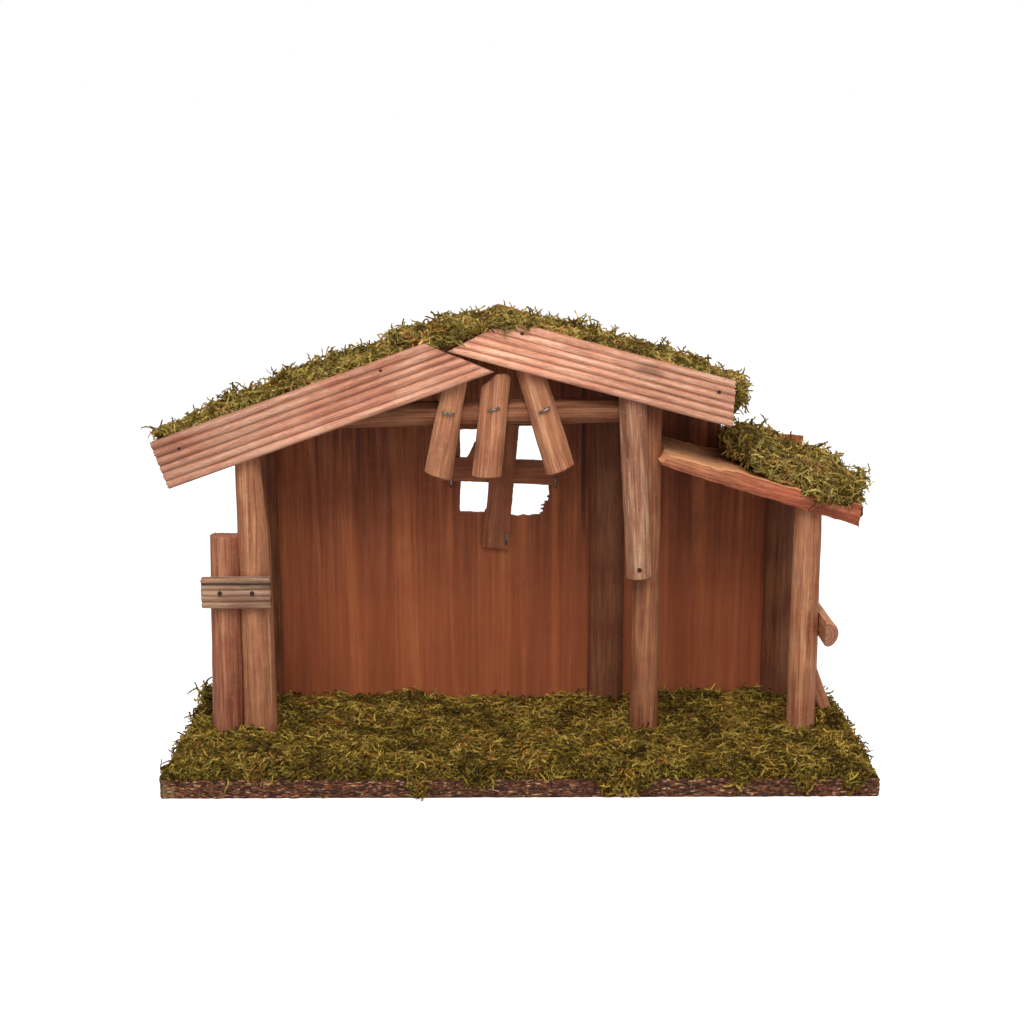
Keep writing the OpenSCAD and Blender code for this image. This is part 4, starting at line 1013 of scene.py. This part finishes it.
def sprig_cover_tree():
    """Sprigs scattered over the open faces of a mat, lying every way, with a few that stand up."""
    tree, given = geometry_tree("Sprig cover", {
        "Sprigs": "Collection", "Density": 100000.0, "From": -1.0, "To": 1.0, "Smallest": 0.6, "Largest": 1.2,
        "Steepest": 1.2, "Lift": 0.001, "Seed": 0, "Finish": "Material"})

    def chance(low, high, seed):
        return add(tree, "FunctionNodeRandomValue", {2: low, 3: high, 8: seed}, data_type="FLOAT")[1]

    x = add(tree, "GeometryNodeInputPosition")[0].parts()[0]
    facing = add(tree, "GeometryNodeInputNormal")[0].parts()
    inside = x.math("GREATER_THAN", given["From"]) * x.math("LESS_THAN", given["To"])
    open_face = (facing[2] - facing[1] * 0.6).math("GREATER_THAN", -0.5)
    grown = add(tree, "GeometryNodeInputNamedAttribute", {"Name": "grown"}, data_type="FLOAT")[0]
    scatter = add(tree, "GeometryNodeDistributePointsOnFaces", {
        "Mesh": given["Geometry"], "Selection": inside * open_face, "Density": given["Density"] * grown,
        "Seed": given["Seed"]})
    lift = scatter["Normal"].vector("SCALE", chance(-0.4, 1.0, 5) * given["Lift"])
    lifted = add(tree, "GeometryNodeSetPosition", {"Geometry": scatter["Points"], "Offset": lift})[0]
    steep = chance(0.0, 1.0, 2).math("POWER", 3.0) * given["Steepest"]
    turned = scatter["Rotation"]
    for angles in (join(tree, z=chance(0.0, 2 * math.pi, 1)), join(tree, chance(-0.6, 0.6, 3), 0.12 - steep)):
        by = add(tree, "FunctionNodeEulerToRotation", {0: angles})[0]
        turned = add(tree, "FunctionNodeRotateRotation", {0: turned, 1: by}, rotation_space="LOCAL")[0]
    bank = add(tree, "GeometryNodeCollectionInfo", {"Collection": given["Sprigs"], "Separate Children": True,
                                                    "Reset Children": True})[0]
    laid = add(tree, "GeometryNodeInstanceOnPoints", {
        "Points": lifted, "Instance": bank, "Pick Instance": True, "Rotation": turned,
        "Scale": chance(given["Smallest"], given["Largest"], 4)})[0]
    toned = keep(tree, laid, "tone", chance(0.0, 1.0, 6), domain="INSTANCE")
    return tree_gives(tree, add(tree, "GeometryNodeRealizeInstances", {0: toned})[0], given["Finish"])


def mat_finish(obj, bed, grown, *nodes):
    mark(obj.data, "grown", np.clip(grown, 0.0, 1.3))
    obj.data.materials.clear()
    obj.data.materials.append(bed)
    obj.data.update()
    return dress(obj, "moss", *nodes)


def moss_mat(node, bed, sunk, lumps=1.1, lip=None, reshape=None, fine=1.5):
    """The dense mat that a moss node stands for: its closed shape, sunk a little and lumpy. A lip is where the front
    of the mat creeps over the board under it: from, to, how far forwards and how far down."""
    mesh = frame["nodes"][node].data.copy()
    mend(mesh, merge=True)
    obj = put(node + "_bed", mesh)
    modifier = obj.modifiers.new("Even", "REMESH")
    modifier.mode = "VOXEL"
    modifier.voxel_size = fine * MM
    even = settle(obj)
    normal = np.empty(len(even.vertices) * 3)
    even.vertex_normals.foreach_get("vector", normal)
    place, normal = read_points(even) / MM, normal.reshape(-1, 3)
    x = place[:, 0].copy()
    bumps = sum(high * np.array([wave(*(p * fineness)) for p in place])
                for high, fineness in ((lumps, 0.07), (0.9, 0.16), (0.6, 0.4)))
    upwards = np.clip(normal[:, 2] * 1.2 + 0.4, 0.0, 1.0)
    lower = (sunk(x) if callable(sunk) else sunk) * upwards
    place += normal * (np.where(normal[:, 2] < -0.3, 0.4, bumps) - lower)[:, None]
    grown = 0.85 + 0.7 * np.array([wave(*(p * 0.13 + 9)) for p in place])
    if lip:
        facing = np.clip(-normal[:, 1] * 1.6 - 0.3, 0.0, 1.0)
        facing = facing * np.clip((x - lip[0]) / 4, 0, 1) * np.clip((lip[1] - x) / 4, 0, 1)
        place[:, 1] -= lip[2] * facing
        place[:, 2] -= lip[3] * facing
    if reshape:
        grown = reshape(place, normal, grown)
    even.vertices.foreach_set("co", (place * MM).ravel())
    return mat_finish(obj, bed, grown, node)


def moss_clumps(name, bed, places):
    """Small lumps of moss at these places: middle and half sizes."""
    lumps = bmesh.new()
    for x, y, z, rx, ry, rz in places:
        for v in bmesh.ops.create_icosphere(lumps, subdivisions=3, radius=1.0)["verts"]:
            far = 1.0 + 0.35 * wave(*(v.co * 1.3 + Vector((x, y, z))))
            far += 0.2 * wave(*(v.co * 3.1 + Vector((z, x, y))))
            v.co = Vector((x + v.co.x * rx * far, y + v.co.y * ry * far, z + v.co.z * rz * far)) * MM
    mesh = bpy.data.meshes.new(name)
    lumps.to_mesh(mesh)
    lumps.free()
    return mat_finish(put(name, mesh), bed, np.ones(len(mesh.vertices)))


# How far the fascia strips reach down from their upper edge, a plane inside them, and where moss covers them
STRIP_FOOT, IN_STRIPS, RIDGE_FROM, RIDGE_TO = -19.0, FRONT_Y - 2.0, RIDGE_X - 28, RIDGE_X + 68


def cover(bed, tree, sprigs, name, density, finish, start, stop, seed, smallest=0.6, largest=1.15, steepest=0.8,
          lift=1.0):
    """Grows sprigs on a mat between two places along X. They lie down on the floor and, away from the ridge,
    stop inside the fascia strips."""
    obj = grow(name, bed.data.copy(), tree, {
        "Sprigs": sprigs, "Density": density, "From": start * MM, "To": stop * MM, "Smallest": smallest,
        "Largest": largest, "Steepest": steepest, "Lift": lift * MM, "Seed": seed, "Finish": finish})
    place = read_points(obj.data)
    depth, height = place[:, 1], place[:, 2]
    height[:] = np.where(height < MM, MM * np.exp(height / MM - 1.0), height)
    x = place[:, 0] / MM
    over_top = height / MM - roof_top(x) - PROUD
    by_ridge = (x > RIDGE_FROM) & (x < RIDGE_TO)
    in_strip = (over_top < -0.4) & (over_top > STRIP_FOOT) & ~by_ridge & (x < ROOF_RIGHT - 1)
    depth[:] = np.where(in_strip, np.maximum(depth, IN_STRIPS * MM), depth)
    obj.data.vertices.foreach_set("co", place.ravel())
    obj.data.shade_flat()
    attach(obj, "root")
    return obj


# Where the moss hangs over the front of the base, from and to along X
HANGS = [(-49, -41), (-25, -12), (35, 58), (95, 102), (123, 131), (144, 153)]
# Lumps that stand out of the mats, with their middles and half sizes: on the ground's rims and front edge, at the
# main roof's ridge and ends, on the lean-to's ends and front, and tufts with sprigs that stand up
GROUND_CLUMPS = [
    (-151, 38, 13, 6, 7, 5), (-155, 22, 11, 4, 8, 4), (-154, 2, 10.5, 4, 7, 3.5), (150, 30, 12, 6, 9, 5),
    (154, 8, 11, 4.5, 7, 4), (155, -14, 11, 4, 7, 4), (154, -34, 10, 4.5, 7, 3.5), (-45.5, -54.6, 4.5, 4, 2, 4),
    (-18, -54.6, 7, 5, 1.6, 3), (40, -54.6, 5, 4, 2, 4), (51, -54.6, 6, 5, 2, 4), (127, -54.6, 6.4, 4, 1.6, 3.4),
    (148, -54.6, 6.4, 3.6, 1.6, 3.4), (98, -54.6, 7.4, 3, 1.5, 2.4), (147, 4, 13, 7.5, 4, 7.5)]
ROOF_CLUMPS = [
    (-26, -8.5, 202.2, 5, 2.4, 2.4), (-19, -8.5, 204.2, 5, 2.4, 2.4), (-10, -8.8, 206, 5, 2.6, 2.0),
    (-3, -9.5, 206.2, 4, 2.4, 1.8), (3, -10.2, 206.4, 4, 1.8, 1.6), (-31, -10.5, 199.4, 4, 2.2, 2.4),
    (-47, 2, 200, 11, 8, 3.6), (101, 1, 177.5, 3.4, 5, 4.5), (102, 11, 173, 3.4, 6, 6), (-163, 0, 157.0, 4, 6, 2)]
LEAN_CLUMPS = [
    (108, 44, 147.0, 6, 6, 4), (119, 44, 146, 6, 6, 4), (103, 14, 146, 4.5, 8, 3.5), (102, 30, 148.5, 4, 8, 4),
    (152, 40, 132.5, 6, 8, 4), (156, 20, 129.5, 3.6, 9, 2.6), (155.5, -2, 127, 3, 5, 2),
    (133, -11.2, 129.8, 4, 1.6, 2), (141, -11.4, 127, 5, 1.8, 2.4), (149, -11.2, 125.6, 4, 1.6, 2)]
TUFTS = [
    (-155.5, 40, 17, 3.4, 4, 4.4), (-149, 44, 18, 3.4, 4, 4), (152, 44, 15, 3, 4, 3), (118, 46, 148.5, 4, 3, 2),
    (161, 14, 130.5, 3, 4, 3.6), (-110, 17, 179, 4, 4, 3), (-94, 18, 185, 3, 3, 2.5), (-86, 20, 187.5, 3.4, 4, 2.4),
    (-134, 12, 169.5, 2.4, 3, 2.6), (-128.5, 15, 172, 2, 3, 2.2), (-58, 18, 197.5, 3.4, 4, 2.4),
    (27, 22, 203.4, 2.4, 3, 2), (33.5, 18, 201.6, 2, 3, 2.2), (43, 20, 198.4, 2, 3, 2), (67, 16, 192.6, 2, 3, 2.2),
    (139, 30, 139.6, 3, 3, 2)]
# Sprigs for each square metre
GROUND_DENSITY, ROOF_DENSITY, CLUMP_DENSITY = 375000.0, 370000.0, 360000.0


def trim_front(place, normal, grown):
    """Sprigs stop above the board's edge but for the places where they hang over it."""
    x, y, z = place.T
    rim_y, edge_y = -50.0, -54.4
    hanging = np.any([(x > start) & (x < stop) for start, stop in HANGS], axis=0)
    rim = (y < rim_y) & ~hanging
    y[rim] = np.maximum(y[rim], edge_y + 0.8 * np.sin(x[rim] * 0.7))
    z[rim] = np.maximum(z[rim], BASE_T + 0.2)
    bare = (y < rim_y) & ~hanging & (z < 9.6 + np.sin(x * 0.31) + np.sin(x * 0.13))
    return np.where(bare | (normal[:, 2] < -0.4), 0.0, np.maximum(grown, 0.9 * (y < rim_y + 2)))


def pull_back(place, normal, grown):
    """The lean-to's mat starts further along the board in front."""
    x, y, z = place.T
    left, end = np.clip((116 - x) / 24, 0, 1), 156.5
    x += left * (9.5 + 3.5 * np.clip((20 - y) / 25, 0, 1))
    z += 1.0 * left
    past = x > end
    x[past] = end + 0.45 * (x[past] - end)
    return np.where((normal[:, 2] < -0.5) | (past & (z < 124.5)), 0.0, grown)


def left_sunk(x):
    """Where the mat on the left roof is thin: at the ridge, and twice along the slope."""
    return 1.4 + sum(deep * np.exp(-((x - at) / wide) ** 2)
                     for deep, at, wide in ((1.6, RIDGE_X, 16), (2.0, -64, 13), (1.8, -136, 18)))


def keep_top(place, normal, grown):
    """No sprigs under the mat, nor behind the fascia strips, which they would come through."""
    x, z = place[:, 0], place[:, 2]
    behind = (normal[:, 1] < -0.3) & (x < ROOF_RIGHT - 1) & (z < roof_top(x) + PROUD - 1.0)
    return np.where((normal[:, 2] < -0.5) | behind, 0.0, grown)


def build_moss():
    tree, sprigs = sprig_cover_tree(), sprig_meshes()
    ground = moss_mat("ground_moss", GROUND_BED, 1.0, lumps=3.2, reshape=trim_front, fine=1.9)
    bands = [-170, -107, -54, 0, 54, 107, 170]
    for i, (start, stop) in enumerate(zip(bands, bands[1:])):
        cover(ground, tree, sprigs, "ground_sprigs_%d" % (i + 1), GROUND_DENSITY, GROUND_MOSS, start, stop,
              21 + i, smallest=0.5, largest=1.0, lift=1.3)
    for node, name, spans, sunk, lip, reshape, seed in (
            ("left_roof_moss", "left_roof", [(-175, -86), (-86, 0)], left_sunk, (-46, 0, 1.6, 2.6), keep_top, 41),
            ("right_roof_moss", "right_roof", [(-20, 45), (45, 115)], 3.0, (-12, 6, 2.0, 1.6), keep_top, 51),
            ("lean_to_moss", "lean_to", [(80, 128), (128, 180)], 0.6, (90, 170, 1.2, 1.6), pull_back, 61)):
        bed = moss_mat(node, ROOF_BED, sunk, lip=lip, reshape=reshape)
        for i, (start, stop) in enumerate(spans):
            cover(bed, tree, sprigs, "%s_sprigs_%d" % (name, i + 1), ROOF_DENSITY, ROOF_MOSS, start, stop,
                  seed + i, smallest=0.5, largest=1.2, steepest=1.0, lift=1.3)
    for name, places, bed, finish, seed, steepest, lift in (
            ("ground_clump", GROUND_CLUMPS, GROUND_BED, GROUND_MOSS, 71, 1.0, 1.0),
            ("roof_clump", ROOF_CLUMPS, ROOF_BED, ROOF_MOSS, 73, 1.0, 1.0),
            ("lean_to_clump", LEAN_CLUMPS, ROOF_BED, ROOF_MOSS, 75, 1.0, 1.0),
            ("tuft", TUFTS, ROOF_BED, ROOF_MOSS, 77, 1.5, 3.0)):
        lumps = moss_clumps(name + "s", bed, places)
        cover(lumps, tree, sprigs, name + "_sprigs", CLUMP_DENSITY, finish, -200, 200, seed, steepest=steepest,
              lift=lift)
    for obj in list(sprigs.objects):
        bpy.data.objects.remove(obj)
    bpy.data.collections.remove(sprigs)


build_sticks()
build_panels()
build_fasteners()
build_strips()
build_moss()
# Nails and brads take the brad finish, rust with painted shade of their holes; staples take steel
for node in ("base_nails", "rail_brads", "wall_staples"):
    for place in frame["nodes"][node].material_slots:
        place.material = STEEL if node.endswith("staples") else BRAD_RUST_AND_SHADE


# Stage, lights and camera

WHITE = (1.0, 1.0, 1.0, 1.0)


def seen_straight(tree):
    """1 where the camera sees it, straight or by a reflection or through glass, and 0 where it only lights."""
    path = add(tree, "ShaderNodeLightPath")
    seen = path["Is Glossy Ray"].math("MAXIMUM", path["Is Transmission Ray"])
    return seen.math("MAXIMUM", path["Is Camera Ray"])


def build_floor():
    mesh = bpy.data.meshes.new("floor")
    mesh.from_pydata([(-8, -4, 0), (8, -4, 0), (8, 14, 0), (-8, 14, 0)], [], [(0, 1, 2, 3)])
    floor = put("floor", mesh)
    made, tree = material("pale_floor")
    tree.nodes.clear()
    seen = seen_straight(tree)
    pale = blend(tree, seen, (0.5, 0.5, 0.5, 1.0), (0.72, 0.72, 0.72, 1.0))
    matt = add(tree, "ShaderNodeBsdfDiffuse", {"Color": pale})[0]
    white = add(tree, "ShaderNodeEmission", {"Color": WHITE, "Strength": 1.0})[0]
    glow = add(tree, "ShaderNodeMixShader", {0: seen * 0.62, 2: white})[0]
    both = add(tree, "ShaderNodeAddShader", {0: matt, 1: glow})[0]
    add(tree, "ShaderNodeOutputMaterial", {0: both})
    mesh.materials.append(made)


# Name, place, size and power
LAMPS = (("key", (-0.15, -0.85, 1.2), 0.8, 17.5), ("fill", (0.6, -1.2, 0.45), 0.9, 3.2))


def build_lights():
    world = bpy.data.worlds.new("studio")
    world.use_nodes = True
    tree = world.node_tree
    tree.nodes.clear()
    above = add(tree, "ShaderNodeTexCoord")["Generated"].parts()[2]
    soft = add(tree, "ShaderNodeBackground", {"Color": WHITE, "Strength": above.span(0.0, 0.9, 0.18, 0.75)})[0]
    white = add(tree, "ShaderNodeBackground", {"Color": WHITE, "Strength": 1.0})[0]
    mixed = add(tree, "ShaderNodeMixShader", {0: seen_straight(tree), 1: soft, 2: white})[0]
    add(tree, "ShaderNodeOutputWorld", {0: mixed})
    scene.world = world
    scene.view_settings.view_transform = "Standard"
    aim = Vector((0, 0, 0.09))
    for name, place, size, power in LAMPS:
        lamp = bpy.data.lights.new(name, "AREA")
        lamp.size, lamp.energy = size, power
        obj = put(name, lamp)
        obj.location = place
        obj.rotation_euler = (aim - Vector(place)).to_track_quat("-Z", "Y").to_euler()


CAMERA_PLACE = (-0.00438, -0.71291, 0.26975)
CAMERA_TURN = (11.962, 0.13, 0.161)
FOCAL_PIXELS, IMAGE_PIXELS, SENSOR = 1567.0, 1024, 36.0


def build_camera():
    pitch, yaw, roll = (math.radians(a) for a in CAMERA_TURN)
    ahead = Vector((math.sin(yaw) * math.cos(pitch), math.cos(yaw) * math.cos(pitch), -math.sin(pitch)))
    right = Vector((math.cos(yaw), -math.sin(yaw), 0))
    down = ahead.cross(right)
    side = right * math.cos(roll) + down * math.sin(roll)
    up = right * math.sin(roll) - down * math.cos(roll)
    data = bpy.data.cameras.new("camera")
    data.sensor_width = SENSOR
    data.lens = FOCAL_PIXELS / IMAGE_PIXELS * SENSOR
    camera = put("camera", data)
    camera.matrix_world = Matrix.Translation(CAMERA_PLACE) @ Matrix((side, up, -ahead)).transposed().to_4x4()
    scene.camera = camera


build_floor()
build_lights()
build_camera()
